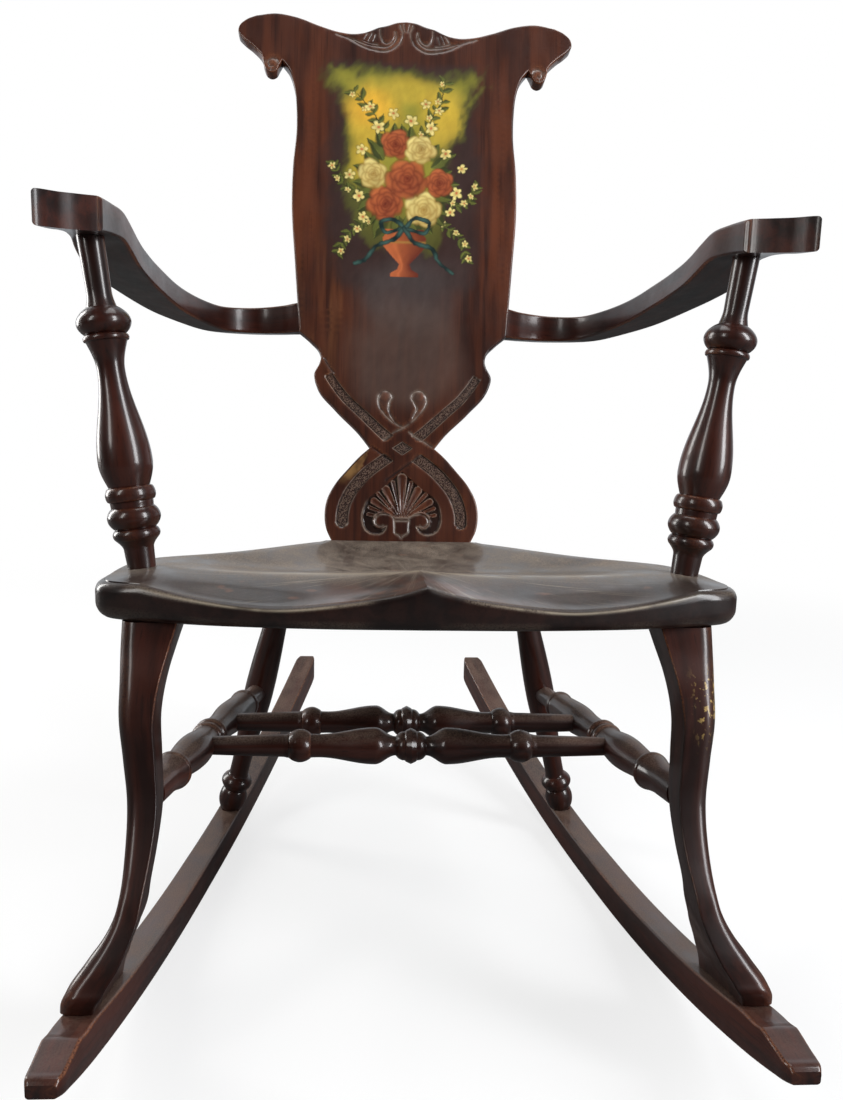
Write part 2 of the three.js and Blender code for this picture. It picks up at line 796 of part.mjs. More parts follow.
function legDowel(side, grow = 0) {
  const [low, high] = dowelEnds(legTopMiddle(side), at(0, 0, 1), grow);
  return grow ? bore(low, high, dowelRadius) : rod(low, high, dowelRadius);
}

function toeDowel(side, grow = 0) {
  const [low, high] = dowelEnds(toeMiddle(side), at(0, 0, 1), grow);
  return grow ? bore(low, high, dowelRadius) : rod(low, high, dowelRadius);
}

// A countersunk screw from its head at `head` towards `tip`.
function screw(head, tip, grow = 0) {
  const length = head.distanceTo(tip) + grow;
  const profile = [
    new THREE.Vector2(screwHeadRadius + grow, grow ? -overrun : 0),
    new THREE.Vector2(screwHeadRadius + grow, 0),
    new THREE.Vector2(screwRadius + grow, screwHeadDepth),
    new THREE.Vector2(screwRadius + grow, length - screwHeadDepth),
    new THREE.Vector2(screwRadius / 2 + grow, length),
  ];
  return turned(closed(grow ? profile : profile.slice(1)), head, tip);
}

const armScrewSpreadShares = [0.31, 0.37]; // of the half spread
const splatScrewShares = [-0.3, 0, 0.3]; // of the splat's half width

function armScrew(side, which, grow = 0) {
  const x = side * armHalfSpread * armScrewSpreadShares[which];
  const head = at(x, armRun * armLapBackShare - armFront, armScrewHeight);
  const tip = at(x, splatBackAt(armScrewHeight) - screwBite, armScrewHeight);
  return screw(head, tip, grow);
}

function splatScrew(which, grow = 0) {
  const x = splatHalfWidth * splatScrewShares[which];
  const up = -seatThickness / 2;
  const head = onSplat(x, up, -splatThickness);
  const tip = onSplat(x, up, screwBite);
  return screw(head, tip, grow);
}

// The pieces with their holes cut

const sides = [
  ["left", 1],
  ["right", -1],
];

function cutAll(solid, cutters) {
  return cutters.reduce((left, cutter) => left.subtract(cutter), solid);
}

// A round hole from its bottom out through the mouth and well clear of it.
function socket(bottom, mouth, radius, clear) {
  return bore(bottom, beyond(bottom, mouth, clear), radius);
}

function seatPiece() {
  const cutters = [behindSeat()];
  splatScrewShares.forEach((_, i) => cutters.push(splatScrew(i, fitGap)));
  for (const [, side] of sides) {
    const post = beyond(postTop(side), postFoot(side), postSeatDepth + fitGap);
    cutters.push(socket(post, postFoot(side), postStart * postRadius, seatThickness));
    const leg = beyond(rearFoot(side), rearTop(side), rearSeatDepth + fitGap);
    cutters.push(socket(leg, rearTop(side), rearLegCuts.at(-1)[2] * rearLegRadius, seatThickness));
    cutters.push(legDowel(side, fitGap));
  }
  return cutAll(seatBody(), cutters);
}

function splatPiece() {
  const cutters = splatScrewShares.map((_, i) => splatScrew(i, fitGap));
  for (const [, side] of sides) {
    armScrewSpreadShares.forEach((_, i) => cutters.push(armScrew(side, i, fitGap)));
  }
  return cutAll(splatBody(), cutters);
}

function armPiece(side) {
  const deep = beyond(postFoot(side), postTop(side), postArmDepth + fitGap);
  const neck = postCuts.at(-1)[2] * postRadius;
  const cutters = [socket(deep, postTop(side), neck, armThickness)];
  armScrewSpreadShares.forEach((_, i) => cutters.push(armScrew(side, i, fitGap)));
  return cutAll(armBody(side), cutters);
}

function frontLegPiece(side) {
  const rested = largest(frontLegBody(side).subtract(rockerBody(side, fitGap)));
  return cutAll(rested, [legDowel(side, fitGap), toeDowel(side, fitGap), sideTenon(side, 0, fitGap)]);
}

function rearLegPiece(side) {
  const foot = rearFoot(side);
  const rested = largest(rearLegBody(side).subtract(rockerBody(side, fitGap)));
  const tip = beyond(rearTop(side), foot, footTenonDepth);
  const tenon = rod(tip, beyond(tip, foot, footTenonDepth), footTenonRadius);
  return rested.add(tenon).subtract(sideTenon(side, 1, fitGap));
}

function rockerPiece(side) {
  const foot = rearFoot(side);
  const tip = beyond(rearTop(side), foot, footTenonDepth + fitGap);
  const cutters = [socket(tip, foot, footTenonRadius, footTenonDepth), toeDowel(side, fitGap)];
  return cutAll(rockerBody(side), cutters);
}

function sidePiece(side) {
  return cutAll(sideBody(side), crossPlaceShares.map((_, place) => crossHole(place, side)));
}

// Materials and the assembly

const mahogany = new THREE.MeshStandardMaterial({ color: 0x2a1411, roughness: 0.32, metalness: 0 });
const seatWood = new THREE.MeshStandardMaterial({ color: 0x33201b, roughness: 0.42, metalness: 0 });
const splatWood = new THREE.MeshStandardMaterial({ color: 0x3a1a12, roughness: 0.35, metalness: 0 });
const birch = new THREE.MeshStandardMaterial({ color: 0xb98d5c, roughness: 0.7, metalness: 0 });
const steel = new THREE.MeshStandardMaterial({ color: 0x6f6a62, roughness: 0.45, metalness: 1 });

const chair = new THREE.Group();
chair.position.y = -(rockerTipBack + rockerTailBack) / 2;

function addPiece(name, solid, material) {
  const made = solid.getMesh();
  const geometry = new THREE.BufferGeometry();
  geometry.setAttribute("position", new THREE.Float32BufferAttribute(made.vertProperties, made.numProp));
  geometry.setIndex(Array.from(made.triVerts));
  geometry.computeVertexNormals();
  const mesh = new THREE.Mesh(geometry, material);
  mesh.name = name;
  chair.add(mesh);
}

addPiece("seat", seatPiece(), seatWood);
addPiece("back_splat", splatPiece(), splatWood);
addPiece("cross_stretcher_front", crossBody(0), mahogany);
addPiece("cross_stretcher_rear", crossBody(1), mahogany);
for (const [name, side] of sides) {
  addPiece("arm_" + name, armPiece(side), mahogany);
  addPiece("arm_post_" + name, postBody(side), mahogany);
  addPiece("front_leg_" + name, frontLegPiece(side), mahogany);
  addPiece("rear_leg_" + name, rearLegPiece(side), mahogany);
  addPiece("side_stretcher_" + name, sidePiece(side), mahogany);
  addPiece("rocker_" + name, rockerPiece(side), mahogany);
  addPiece("front_leg_dowel_" + name, legDowel(side), birch);
  addPiece("toe_dowel_" + name, toeDowel(side), birch);
  armScrewSpreadShares.forEach((_, i) => {
    addPiece("arm_screw_" + name + "_" + (i + 1), armScrew(side, i), steel);
  });
}
splatScrewShares.forEach((_, i) => addPiece("splat_screw_" + (i + 1), splatScrew(i), steel));

export default chair;
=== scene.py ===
# %% [markdown]
# A rocking chair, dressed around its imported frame.
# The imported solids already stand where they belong, in metres, with +Z up and the sitter facing -Y. This
# lesson makes a finer visible surface for each wooden piece and lets it stand for its solid. A piece
# could be modelled by hand, or drawn as a curve and turned. Here each surface is a function of two
# parameters, worked out on a grid with numpy, because one formula then gives both the shape and the
# patterns that follow it.

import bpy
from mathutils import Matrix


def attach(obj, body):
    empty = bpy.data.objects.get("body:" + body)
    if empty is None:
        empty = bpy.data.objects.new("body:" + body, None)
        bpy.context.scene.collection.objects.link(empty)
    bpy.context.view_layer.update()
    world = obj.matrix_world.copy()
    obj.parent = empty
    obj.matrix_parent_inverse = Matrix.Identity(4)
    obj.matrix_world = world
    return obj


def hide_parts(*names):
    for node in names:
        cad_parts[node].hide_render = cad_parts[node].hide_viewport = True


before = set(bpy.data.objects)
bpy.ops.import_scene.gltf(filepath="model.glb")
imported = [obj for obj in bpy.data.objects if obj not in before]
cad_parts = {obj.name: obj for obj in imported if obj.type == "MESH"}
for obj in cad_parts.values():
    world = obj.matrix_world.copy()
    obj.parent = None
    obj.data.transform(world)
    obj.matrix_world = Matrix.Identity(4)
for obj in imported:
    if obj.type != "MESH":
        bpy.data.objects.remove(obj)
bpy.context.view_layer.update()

import math

import bpy
import numpy as np
from mathutils import Matrix, Vector
from mathutils.geometry import delaunay_2d_cdt

scene = bpy.context.scene
scene.view_settings.view_transform = "Standard"

# %% [markdown]
# Sizes are easiest to read in millimetres from the line of the seat's front corners, so each shape is
# worked out there. One small function then turns them into the frame's metres.

# %% Units and places
MM = 0.001
FRAME_BACK = -243.0  # from the seat's front corners to the frame's origin, along Y


def metres(points):
    """Millimetres from the seat's front corners, turned into metres in the frame."""
    moved = np.asarray(points, dtype=float) + np.array([0.0, FRAME_BACK, 0.0])
    return moved * MM


# %% [markdown]
# Every shape below follows smooth curves through a few named points. A cubic that passes through its
# points with slopes taken from their neighbours is enough, and numpy works it out for a whole array at
# once.

# %% Curves through points
def curve(knots, values, x):
    """Cubic Hermite curve: (1 + 2t)(1 - t)^2 a + t(1 - t)^2 h ma + t^2(3 - 2t) b + t^2(t - 1) h mb."""
    knots = np.asarray(knots, dtype=float)
    values = np.asarray(values, dtype=float)
    x = np.clip(np.asarray(x, dtype=float), knots[0], knots[-1])
    steps = np.diff(knots)
    flat = values.reshape(len(knots), -1)
    rises = np.diff(flat, axis=0) / steps[:, None]
    slopes = np.empty_like(flat)
    slopes[0], slopes[-1] = rises[0], rises[-1]
    weight = (steps[1:] / (steps[1:] + steps[:-1]))[:, None]
    slopes[1:-1] = weight * rises[:-1] + (1 - weight) * rises[1:]
    i = np.clip(np.searchsorted(knots, x, side="right") - 1, 0, len(steps) - 1)
    h = steps[i][..., None]
    t = ((x - knots[i]) / steps[i])[..., None]
    result = ((1 + 2 * t) * (1 - t) ** 2 * flat[i] + t * (1 - t) ** 2 * h * slopes[i]
              + t ** 2 * (3 - 2 * t) * flat[i + 1] + t ** 2 * (t - 1) * h * slopes[i + 1])
    return result.reshape(x.shape + values.shape[1:])


def ease(x, low, high):
    """0 below low, 1 above high, and 3t^2 - 2t^3 between them."""
    t = np.clip((np.asarray(x, dtype=float) - low) / (high - low), 0, 1)
    return t * t * (3 - 2 * t)


def through(points, count):
    """Points evenly spread along a smooth curve through the given ones, by the length of its chords."""
    points = np.asarray(points, dtype=float)
    along = np.concatenate([[0], np.cumsum(np.linalg.norm(np.diff(points, axis=0), axis=1))])
    return curve(along, points, np.linspace(0, along[-1], count))


# %% [markdown]
# A grid of points becomes a skin: neighbouring points are joined by four-sided faces, the columns close
# into a ring, and each end is closed by a fan round its middle. The signed volume tells whether the faces
# point outwards, and if they don't, every face is turned round at once. That is surer than a later look
# at each piece. Faces that meet at more than a given angle keep a crisp edge.

# %% From grids to meshes
CRISP = math.radians(38)


def make_mesh(name, points, quads, fans, fields):
    """A mesh object from points in millimetres, with a number or a vector field for each point."""
    places = metres(points)
    triangles = np.vstack([quads[:, [0, 1, 2]], quads[:, [0, 2, 3]], fans])
    corner = places[triangles]
    volume = np.einsum("ij,ij->i", corner[:, 0], np.cross(corner[:, 1], corner[:, 2])).sum() / 6
    if volume < 0:
        quads, fans = quads[:, ::-1], fans[:, ::-1]
    mesh = bpy.data.meshes.new(name)
    mesh.from_pydata(places, [], quads.tolist() + fans.tolist())
    for field, values in fields.items():
        values = np.asarray(values, dtype=float)
        if values.ndim == 2:
            made = mesh.attributes.new(field, "FLOAT_VECTOR", "POINT")
            made.data.foreach_set("vector", values.ravel())
        else:
            made = mesh.attributes.new(field, "FLOAT", "POINT")
            made.data.foreach_set("value", values.ravel())
    mesh.validate()
    mesh.polygons.foreach_set("use_smooth", np.ones(len(mesh.polygons), dtype=bool))
    mesh.set_sharp_from_angle(angle=CRISP)
    piece = bpy.data.objects.new(name, mesh)
    scene.collection.objects.link(piece)
    print(f"{name}: {len(triangles)} triangles, {abs(volume) * 1e6:.0f} cm3")
    return piece


def ring_quads(ids):
    """Four-sided faces between each row of point numbers and the next one, each row closed into a ring."""
    here, there = ids[:-1], ids[1:]
    return np.stack([here, np.roll(here, -1, 1), np.roll(there, -1, 1), there], -1).reshape(-1, 4)


def skin(name, grid, fields):
    """Closed surface from rows of rings. Fields hold a value, or a vector, for each point of the grid."""
    rows, columns = grid.shape[:2]
    ids = np.arange(rows * columns).reshape(rows, columns)
    first, last = rows * columns, rows * columns + 1
    start = np.stack([np.full(columns, first), np.roll(ids[0], -1), ids[0]], -1)
    end = np.stack([np.full(columns, last), ids[-1], np.roll(ids[-1], -1)], -1)
    points = np.vstack([grid.reshape(-1, 3), grid[0].mean(0), grid[-1].mean(0)])
    spread = {}
    for field, values in fields.items():
        values = np.asarray(values, dtype=float)
        tail = values.shape[2:]
        ends = [values[0].mean(0).reshape((1,) + tail), values[-1].mean(0).reshape((1,) + tail)]
        spread[field] = np.concatenate([values.reshape((-1,) + tail), *ends])
    return make_mesh(name, points, ring_quads(ids), np.vstack([start, end]), spread)


# %% [markdown]
# Turned pieces come off a lathe: a profile of radii is carried round a straight axis. A Screw modifier on
# a drawn line would do that too, but it carries no field for the grain. The profiles are written as a
# turner would name them: a straight line, a wave that leaves and arrives level, a bowl that arrives
# level, a flare that leaves level, a bead that swells, and a fillet, the small flat step beside a bead.

# %% Turned surfaces
TURN_SIDES = 56
PLUMP = 0.75  # below 1, a bead's belly is fuller than a half wave
APART = 1e-6  # keeps two stations from lying at the very same place
CUT_STEPS = {"line": 10, "wave": 34, "bowl": 20, "flare": 16, "bead": 18, "step": 3}


def turning(start_share, cuts):
    """Shares of length and of greatest radius, cut after cut: r0 + (r1 - r0) blend(t) + swell belly(t)."""
    along, wide = [0.0], [start_share]
    for form, end, share, *swell in cuts:
        t = np.arange(1, CUT_STEPS[form] + 1) / CUT_STEPS[form]
        if form == "bead":
            t = (1 - np.cos(np.pi * t)) / 2
        blend = {"wave": (1 - np.cos(np.pi * t)) / 2, "bowl": np.sin(np.pi * t / 2),
                 "flare": 1 - np.cos(np.pi * t / 2)}.get(form, t)
        belly = np.sin(np.pi * t) ** PLUMP
        wide.extend(wide[-1] + (share - wide[-1]) * blend + sum(swell) * belly)
        along.extend(along[-1] + (end - along[-1]) * t)
    return np.array(along), np.array(wide)


def turned(name, start, end, along, radii):
    """A surface of revolution: start + axis * along + radius (across cos a + aside sin a)."""
    axis = (end - start) / np.linalg.norm(end - start)
    across = np.cross(axis, [0.0, 1.0, 0.0] if abs(axis[1]) < 0.9 else [1.0, 0.0, 0.0])
    across /= np.linalg.norm(across)
    aside = np.cross(axis, across)
    angle = np.linspace(0, 2 * np.pi, TURN_SIDES, endpoint=False)
    spoke = np.cos(angle)[:, None] * across + np.sin(angle)[:, None] * aside
    grid = start + along[:, None, None] * axis + radii[:, None, None] * spoke[None]
    flat = np.stack([np.cos(angle), np.sin(angle)], -1)[None] * radii[:, None, None]
    grain = np.concatenate([flat, np.broadcast_to(along[:, None, None], flat.shape[:2] + (1,))], -1)
    stations = along + np.arange(len(along)) * APART
    bend = np.gradient(np.gradient(radii, stations), stations)
    wear = np.broadcast_to(ease(-bend, 0.02, 0.35)[:, None], grid.shape[:2])
    return skin(name, grid, {"grain": grain * MM, "wear": wear})


# %% [markdown]
# The camera stands where the photograph was taken from: low, a little to one side and close. Its place
# and tilt were solved once from the seat, the splat and the rockers, so each of them falls where it
# should.

# %% Camera
PHOTO_WIDTH, PHOTO_HEIGHT = 843, 1100
FOCAL_PIXELS = 920.0
PRINCIPAL = (407.0, 557.0)
YAW, PITCH, ROLL = (math.radians(angle) for angle in (3.28, 9.33, 1.33))
EYE = (-58.0, -758.0, 539.0)
SENSOR = 36.0

forward = np.array([math.sin(YAW) * math.cos(PITCH), math.cos(YAW) * math.cos(PITCH), -math.sin(PITCH)])
level = np.array([math.cos(YAW), -math.sin(YAW), 0.0])
upright = np.cross(level, forward)
right = math.cos(ROLL) * level + math.sin(ROLL) * upright
above = -math.sin(ROLL) * level + math.cos(ROLL) * upright

lens_data = bpy.data.cameras.new("photo_camera")
camera = bpy.data.objects.new("photo_camera", lens_data)
scene.collection.objects.link(camera)
lens_data.sensor_fit = "AUTO"
lens_data.sensor_width = SENSOR
lens_data.lens = FOCAL_PIXELS * SENSOR / PHOTO_HEIGHT
lens_data.shift_x = (PHOTO_WIDTH / 2 - PRINCIPAL[0]) / PHOTO_HEIGHT
lens_data.shift_y = (PRINCIPAL[1] - PHOTO_HEIGHT / 2) / PHOTO_HEIGHT
lens_data.clip_start, lens_data.clip_end = 0.02, 60.0
eye = metres(EYE)
axes = Matrix([[right[i], above[i], -forward[i], eye[i]] for i in range(3)] + [[0, 0, 0, 1]])
camera.matrix_world = axes
scene.camera = camera
print("camera at", [round(v, 3) for v in eye])

# %% [markdown]
# Shader maths reads best as arithmetic. The nodes could be laid out by hand in the Shader Editor, but a
# mask of ten nodes is hard to follow there. The class below wraps one output socket and builds a Math
# node for each operator, so that a mask can be written as 1 - wear * 0.5. A second class adds any other
# node in one call.

# %% Shader helpers
class Value:
    """A number that varies over the surface. Operators add Math nodes."""

    def __init__(self, kit, socket):
        self.kit, self.socket = kit, socket

    def _math(self, operation, *terms):
        """A Math node, with this value and others in its sockets."""
        return self.kit.add("ShaderNodeMath", {"operation": operation}, dict(enumerate(terms)))

    def __add__(self, other):
        return self._math("ADD", self, other)

    __radd__ = __add__

    def __mul__(self, other):
        return self._math("MULTIPLY", self, other)

    __rmul__ = __mul__

    def __sub__(self, other):
        return self._math("SUBTRACT", self, other)

    def __rsub__(self, other):
        return self._math("SUBTRACT", other, self)

    def power(self, exponent):
        """Raised to an exponent, which pushes low values down."""
        return self._math("POWER", self, exponent)

    def larger(self, other):
        """The larger of the two."""
        return self._math("MAXIMUM", self, other)

    def smaller(self, other):
        """The smaller of the two."""
        return self._math("MINIMUM", self, other)

    def clear(self):
        """Clamped to the range 0 to 1."""
        return self.larger(0.0).smaller(1.0)

    def between(self, low, high):
        """0 below low, 1 above high, smooth between them."""
        sockets = {"Value": self, "From Min": low, "From Max": high}
        return self.kit.add("ShaderNodeMapRange", {"interpolation_type": "SMOOTHSTEP"}, sockets, "Result")


class Kit:
    """The nodes of one material, or of the world."""

    def __init__(self, owner):
        self.owner = owner
        owner.use_nodes = True
        self.tree = owner.node_tree
        self.tree.nodes.clear()

    def add(self, kind, settings=None, inputs=None, output=0):
        """Any node: its settings first, then its sockets by name or number, and one output comes back."""
        node = self.tree.nodes.new(kind)
        for key, value in (settings or {}).items():
            setattr(node, key, value)
        for key, value in (inputs or {}).items():
            if isinstance(value, Value):
                self.tree.links.new(value.socket, node.inputs[key])
            else:
                node.inputs[key].default_value = value
        return Value(self, node.outputs[output]) if node.outputs else node

    def field(self, name, output="Vector"):
        """A field that the surface carries, as a vector, a colour or a number ("Fac")."""
        return self.add("ShaderNodeAttribute", {"attribute_name": name}, output=output)

    def noise(self, vector, scale, detail, roughness, distortion=0.0):
        """Noise over a vector that is first multiplied by a scale along each direction."""
        scaled = self.add("ShaderNodeMapping", {}, {"Vector": vector, "Scale": scale})
        sockets = {"Vector": scaled, "Scale": 1.0, "Detail": detail, "Roughness": roughness,
                   "Distortion": distortion}
        return self.add("ShaderNodeTexNoise", {}, sockets)

    def mix(self, share, one, other):
        """Colour mix. A colour is three numbers or a value. The colour sockets are numbers 6, 7 and 2."""
        one, other = [c if isinstance(c, Value) else (*c, 1.0) for c in (one, other)]
        return self.add("ShaderNodeMix", {"data_type": "RGBA"}, {0: share, 6: one, 7: other}, 2)

    def bump(self, height, distance, strength):
        """A normal that leans with the slope of a height."""
        sockets = {"Height": height, "Distance": distance, "Strength": strength}
        return self.add("ShaderNodeBump", {}, sockets)

    def finish(self, color, roughness, normal, **others):
        """The surface shader and the material's output. Other sockets are named with _ for each space."""
        sockets = {"Base Color": color, "Roughness": roughness, "Normal": normal}
        for key, value in others.items():
            sockets[key.replace("_", " ")] = value
        shader = self.add("ShaderNodeBsdfPrincipled", {}, sockets)
        self.add("ShaderNodeOutputMaterial", {}, {"Surface": shader})
        return self.owner


# %% [markdown]
# The chair is stained a very dark red-brown and varnished. A picture of wood could be wrapped round each
# piece, but it would show seams and end grain in the wrong places. Here the pattern reads a field that
# the surface carries, two numbers across the piece and one along it, so the grain runs along every piece.
# Dust lies on faces that look up, the high rings are rubbed a warmer brown, and one leg has lost chips of
# varnish. The wood itself hardly shines. Its gloss is a thin clear coat, which keeps the dark places
# dark.

# %% Dark varnished wood
DEEP_STAIN, WARM_STAIN = (0.0100, 0.0032, 0.0024), (0.062, 0.0135, 0.0070)
RUBBED_WOOD, BARE_CHIP, DUST = (0.21, 0.070, 0.026), (0.46, 0.31, 0.10), (0.155, 0.105, 0.080)
PORE_SHADE = 0.45  # how dark the fine pores are beside the deepest stain
VARNISH_WAVES = 0.00025


def varnished(name, deep=DEEP_STAIN, warm=WARM_STAIN, worn=RUBBED_WOOD, dust=0.0, dust_color=DUST, coat=0.6,
              extra=None):
    """Stained wood: grain streaks, slow blotches, rubbed edges, chips, and dust on what looks up."""
    kit = Kit(bpy.data.materials.new(name))
    grain = kit.field("grain")
    wear = kit.field("wear", "Fac")
    fine = kit.noise(grain, (520, 520, 16), 5.0, 0.6)
    figure = kit.noise(grain, (70, 70, 5), 3.0, 0.5, 0.6)
    blotch = kit.noise(grain, (14, 14, 6), 3.0, 0.5)
    speck = kit.noise(grain, (900, 900, 600), 2.0, 0.5)
    tone = (figure.between(0.38, 0.66) * 0.45 + blotch.between(0.35, 0.72) * 0.55).clear()
    color = kit.mix(tone, deep, warm)
    color = kit.mix(fine.between(0.50, 0.72) * 0.55, color, tuple(v * PORE_SHADE for v in deep))
    # Rubbed colour where the wear field is high; on the splat that field also carries a painted highlight on
    # the high points of the carving
    rub_and_highlight = (wear * blotch.between(0.40, 0.60) * speck.between(0.30, 0.62)).clear()
    color = kit.mix(rub_and_highlight * 0.85, color, worn)
    flake = kit.noise(grain, (260, 260, 170), 3.0, 0.6).between(0.56, 0.60)
    chip = kit.field("chips", "Fac").power(3.0) * flake
    color = kit.mix(chip * 0.8, color, BARE_CHIP)
    height = 0.0
    if extra:
        color, height = extra(kit, grain, color)
    facing = kit.add("ShaderNodeNewGeometry", output="Normal")
    up = kit.add("ShaderNodeSeparateXYZ", {}, {"Vector": facing}, "Z")
    film = kit.noise(grain, (38, 38, 24), 5.0, 0.65)
    powder = film.between(0.30, 0.68) * 0.55 + speck.between(0.32, 0.68) * 0.6
    dusty = (up.between(0.25, 0.95) * powder * dust).clear() * (1 - kit.field("swept", "Fac"))
    color = kit.mix(dusty, color, dust_color)
    rough = (film.between(0.25, 0.75) * 0.14 + 0.34 + dusty * 0.4 + rub_and_highlight * 0.2).clear()
    normal = kit.bump(fine * 0.4 + film * 0.6 + height, VARNISH_WAVES, 0.35)
    print(f"{name}: {len(kit.tree.nodes)} nodes")
    return kit.finish(color, rough, normal, Coat_Weight=(1 - dusty) * coat, Coat_Roughness=0.16,
                      Specular_IOR_Level=0.22)


mahogany = varnished("dark_mahogany")
mahogany_dusty = varnished("dusty_mahogany", dust=0.75)
mahogany_dull = varnished("dull_mahogany", warm=(0.050, 0.0110, 0.0058), coat=0.35)
mahogany_arm = varnished("arm_mahogany", dust=0.75, coat=0.35)

# %% [markdown]
# Each new piece hides the imported solid it stands for, gets what it is made of and moves with a body. One
# short function does all three, so no piece can miss one. The chair is the same on both sides, so a place is
# worked out for the left and mirrored for the right. Turned pieces may run on into a socket at each end, so
# they share one more function.

# %% Sides, solids and sockets
SIDES = (("left", 1.0), ("right", -1.0))


def mirrored(point, side):
    """The same place on the left (+1) or right (-1) side of the chair."""
    return np.asarray(point, float) * np.array([side, 1.0, 1.0])


def dress(piece, node, material):
    """Gives a finished piece its material, hides the solid it stands for and attaches it to the root body.
    """
    piece.data.materials.append(material)
    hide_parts(node)
    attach(piece, "root")


def turned_piece(node, start, end, profile, radius, material, sunk=None):
    """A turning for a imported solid. Its profile is scaled to the span, and `sunk` lengthens each end."""
    share, width = profile
    length = np.linalg.norm(end - start)
    along, radii = share * length, width * radius
    if sunk:
        along = np.concatenate([[-sunk[0]], along, [length + sunk[1]]])
        radii = np.concatenate([radii[:1], radii, radii[-1:]])
    dress(turned(node + "_turned", start, end, along, radii), node, material)


# %% [markdown]
# Each arm post stands in the seat and carries the arm. It is the showiest turning of the chair: a plain
# foot, a ring and a ball, a cove, a long vase, and a bulb under the neck. It could be a stack of
# cylinders and balls, but their joints would show, so the whole post is one list of cuts. Each cut says
# where it ends and how wide the post is there, as shares of its length and of its greatest radius, and a
# bead also says how far it swells.

# %% Arm posts
POST_RADIUS, POST_START = 23.8, 0.52
POST_FOOT, POST_TOP = np.array([251.0, 78.0, 386.5]), np.array([291.0, 88.0, 677.0])
POST_SUNK = (6.0, 6.0)
POST_CUTS = [
    ("line", 0.066, 0.56),
    ("flare", 0.098, 0.80),
    ("bead", 0.128, 0.80, 0.08),
    ("step", 0.131, 0.76),
    ("bead", 0.196, 0.79, 0.215),
    ("wave", 0.214, 0.80),
    ("step", 0.217, 0.87),
    ("bead", 0.257, 0.84, 0.075),
    ("step", 0.260, 0.76),
    ("bowl", 0.336, 1.0),
    ("wave", 0.612, 0.505),
    ("flare", 0.696, 0.75),
    ("step", 0.698, 0.81),
    ("bead", 0.714, 0.79, 0.035),
    ("step", 0.717, 0.72),
    ("bead", 0.796, 0.555, 0.35),
    ("bowl", 0.842, 0.455),
    ("line", 1.0, 0.490),
]
for side_name, side in SIDES:
    foot, top = mirrored(POST_FOOT, side), mirrored(POST_TOP, side)
    profile = turning(POST_START, POST_CUTS)
    turned_piece("arm_post_" + side_name, foot, top, profile, POST_RADIUS, mahogany, POST_SUNK)

# %% [markdown]
# The two rockers carry everything, so their shape comes next. From the side each is a strip of two circle
# arcs with a short flat between them, where the chair rests. From above it bows gently outwards. A strip
# bent by two modifiers would come close, but the legs have to stand on it, so its lines are formulas that
# they can ask too.

# %% Rocker lines
ROCK_FRONT_RADIUS, ROCK_REAR_RADIUS = 1116.0, 1050.0
ROCK_CONTACT, ROCK_FLAT = 207.0, 22.0
ROCKER_WIDTH, ROCKER_DEPTH = 29.0, 31.0
ROCKER_FRONT_RUN, ROCKER_REAR_RUN = 405.0, 455.0
ROCKER_FRONT_SPREAD, ROCKER_REAR_SPREAD, ROCKER_BOW = 277.0, 148.0, 28.0
ROCK_LIFT = math.cos(math.radians(1.5))  # packed arcs run in 3 degree steps, whose middles are on the floor
ROCKER_TIP, ROCKER_TAIL = ROCK_CONTACT - ROCKER_FRONT_RUN, ROCK_CONTACT + ROCK_FLAT + ROCKER_REAR_RUN


def rocker_outer(y):
    """Outer face from the chair's middle: a line from tip to tail plus 4 bow t (1 - t)."""
    t = (y - ROCKER_TIP) / (ROCKER_TAIL - ROCKER_TIP)
    straight = ROCKER_FRONT_SPREAD + (ROCKER_REAR_SPREAD - ROCKER_FRONT_SPREAD) * t
    return straight + 4 * ROCKER_BOW * t * (1 - t)


def rocker_side(y, drop):
    """Height of a line `drop` above the underside: r lift - sqrt((r - drop)^2 - (y - centre)^2)."""
    y = np.asarray(y, dtype=float)
    centre = np.clip(y, ROCK_CONTACT, ROCK_CONTACT + ROCK_FLAT)
    radius = np.where(y > centre, ROCK_REAR_RADIUS, ROCK_FRONT_RADIUS)
    return radius * ROCK_LIFT - np.sqrt((radius - drop) ** 2 - (y - centre) ** 2)


rocker_middle = float(rocker_side(ROCK_CONTACT, ROCKER_DEPTH))
print(f"rocker: {ROCKER_TAIL - ROCKER_TIP:.0f} mm long, top at {rocker_middle:.1f} mm where it rests")

# %% [markdown]
# Rockers, legs and other sawn pieces keep a nearly square section with rounded corners. A Bevel modifier
# could round them, but each corner here may have a radius of its own that changes along the piece, so the
# section is worked out as points round a box.

# %% Rounded sections
def softened_box(half_wide, half_deep, radii, corner_steps=8):
    """Offsets round a box with round corners: sign (half - r) + r cos a, with one radius or four for it.

    The third result is sin 2a: 0 on the flats and 1 in the middle of each corner, where the varnish wears.
    """
    half_wide, half_deep = np.broadcast_arrays(half_wide, half_deep)
    radii = radii if isinstance(radii, list) else [radii] * 4
    radii = np.stack([np.broadcast_to(r, half_wide.shape) for r in radii], -1)
    radius = np.repeat(radii, corner_steps, axis=-1)
    quarter = np.linspace(0, np.pi / 2, corner_steps)
    angle = np.concatenate([quarter + k * np.pi / 2 for k in range(4)])
    corner = np.repeat(np.array([[1, 1], [-1, 1], [-1, -1], [1, -1]]), corner_steps, axis=0)
    u = corner[:, 0] * (half_wide[..., None] - radius) + radius * np.cos(angle)
    v = corner[:, 1] * (half_deep[..., None] - radius) + radius * np.sin(angle)
    return u, v, np.broadcast_to(np.tile(np.sin(2 * quarter), 4), u.shape)


# %% [markdown]
# The rocker's nose is thin at its tip, rises in a long chamfer to a hump, and dips a little before the
# front leg's toe. Those are shares of the full depth at shares of the run, and the sections lie closest
# together near both tips, where the shape turns fastest.

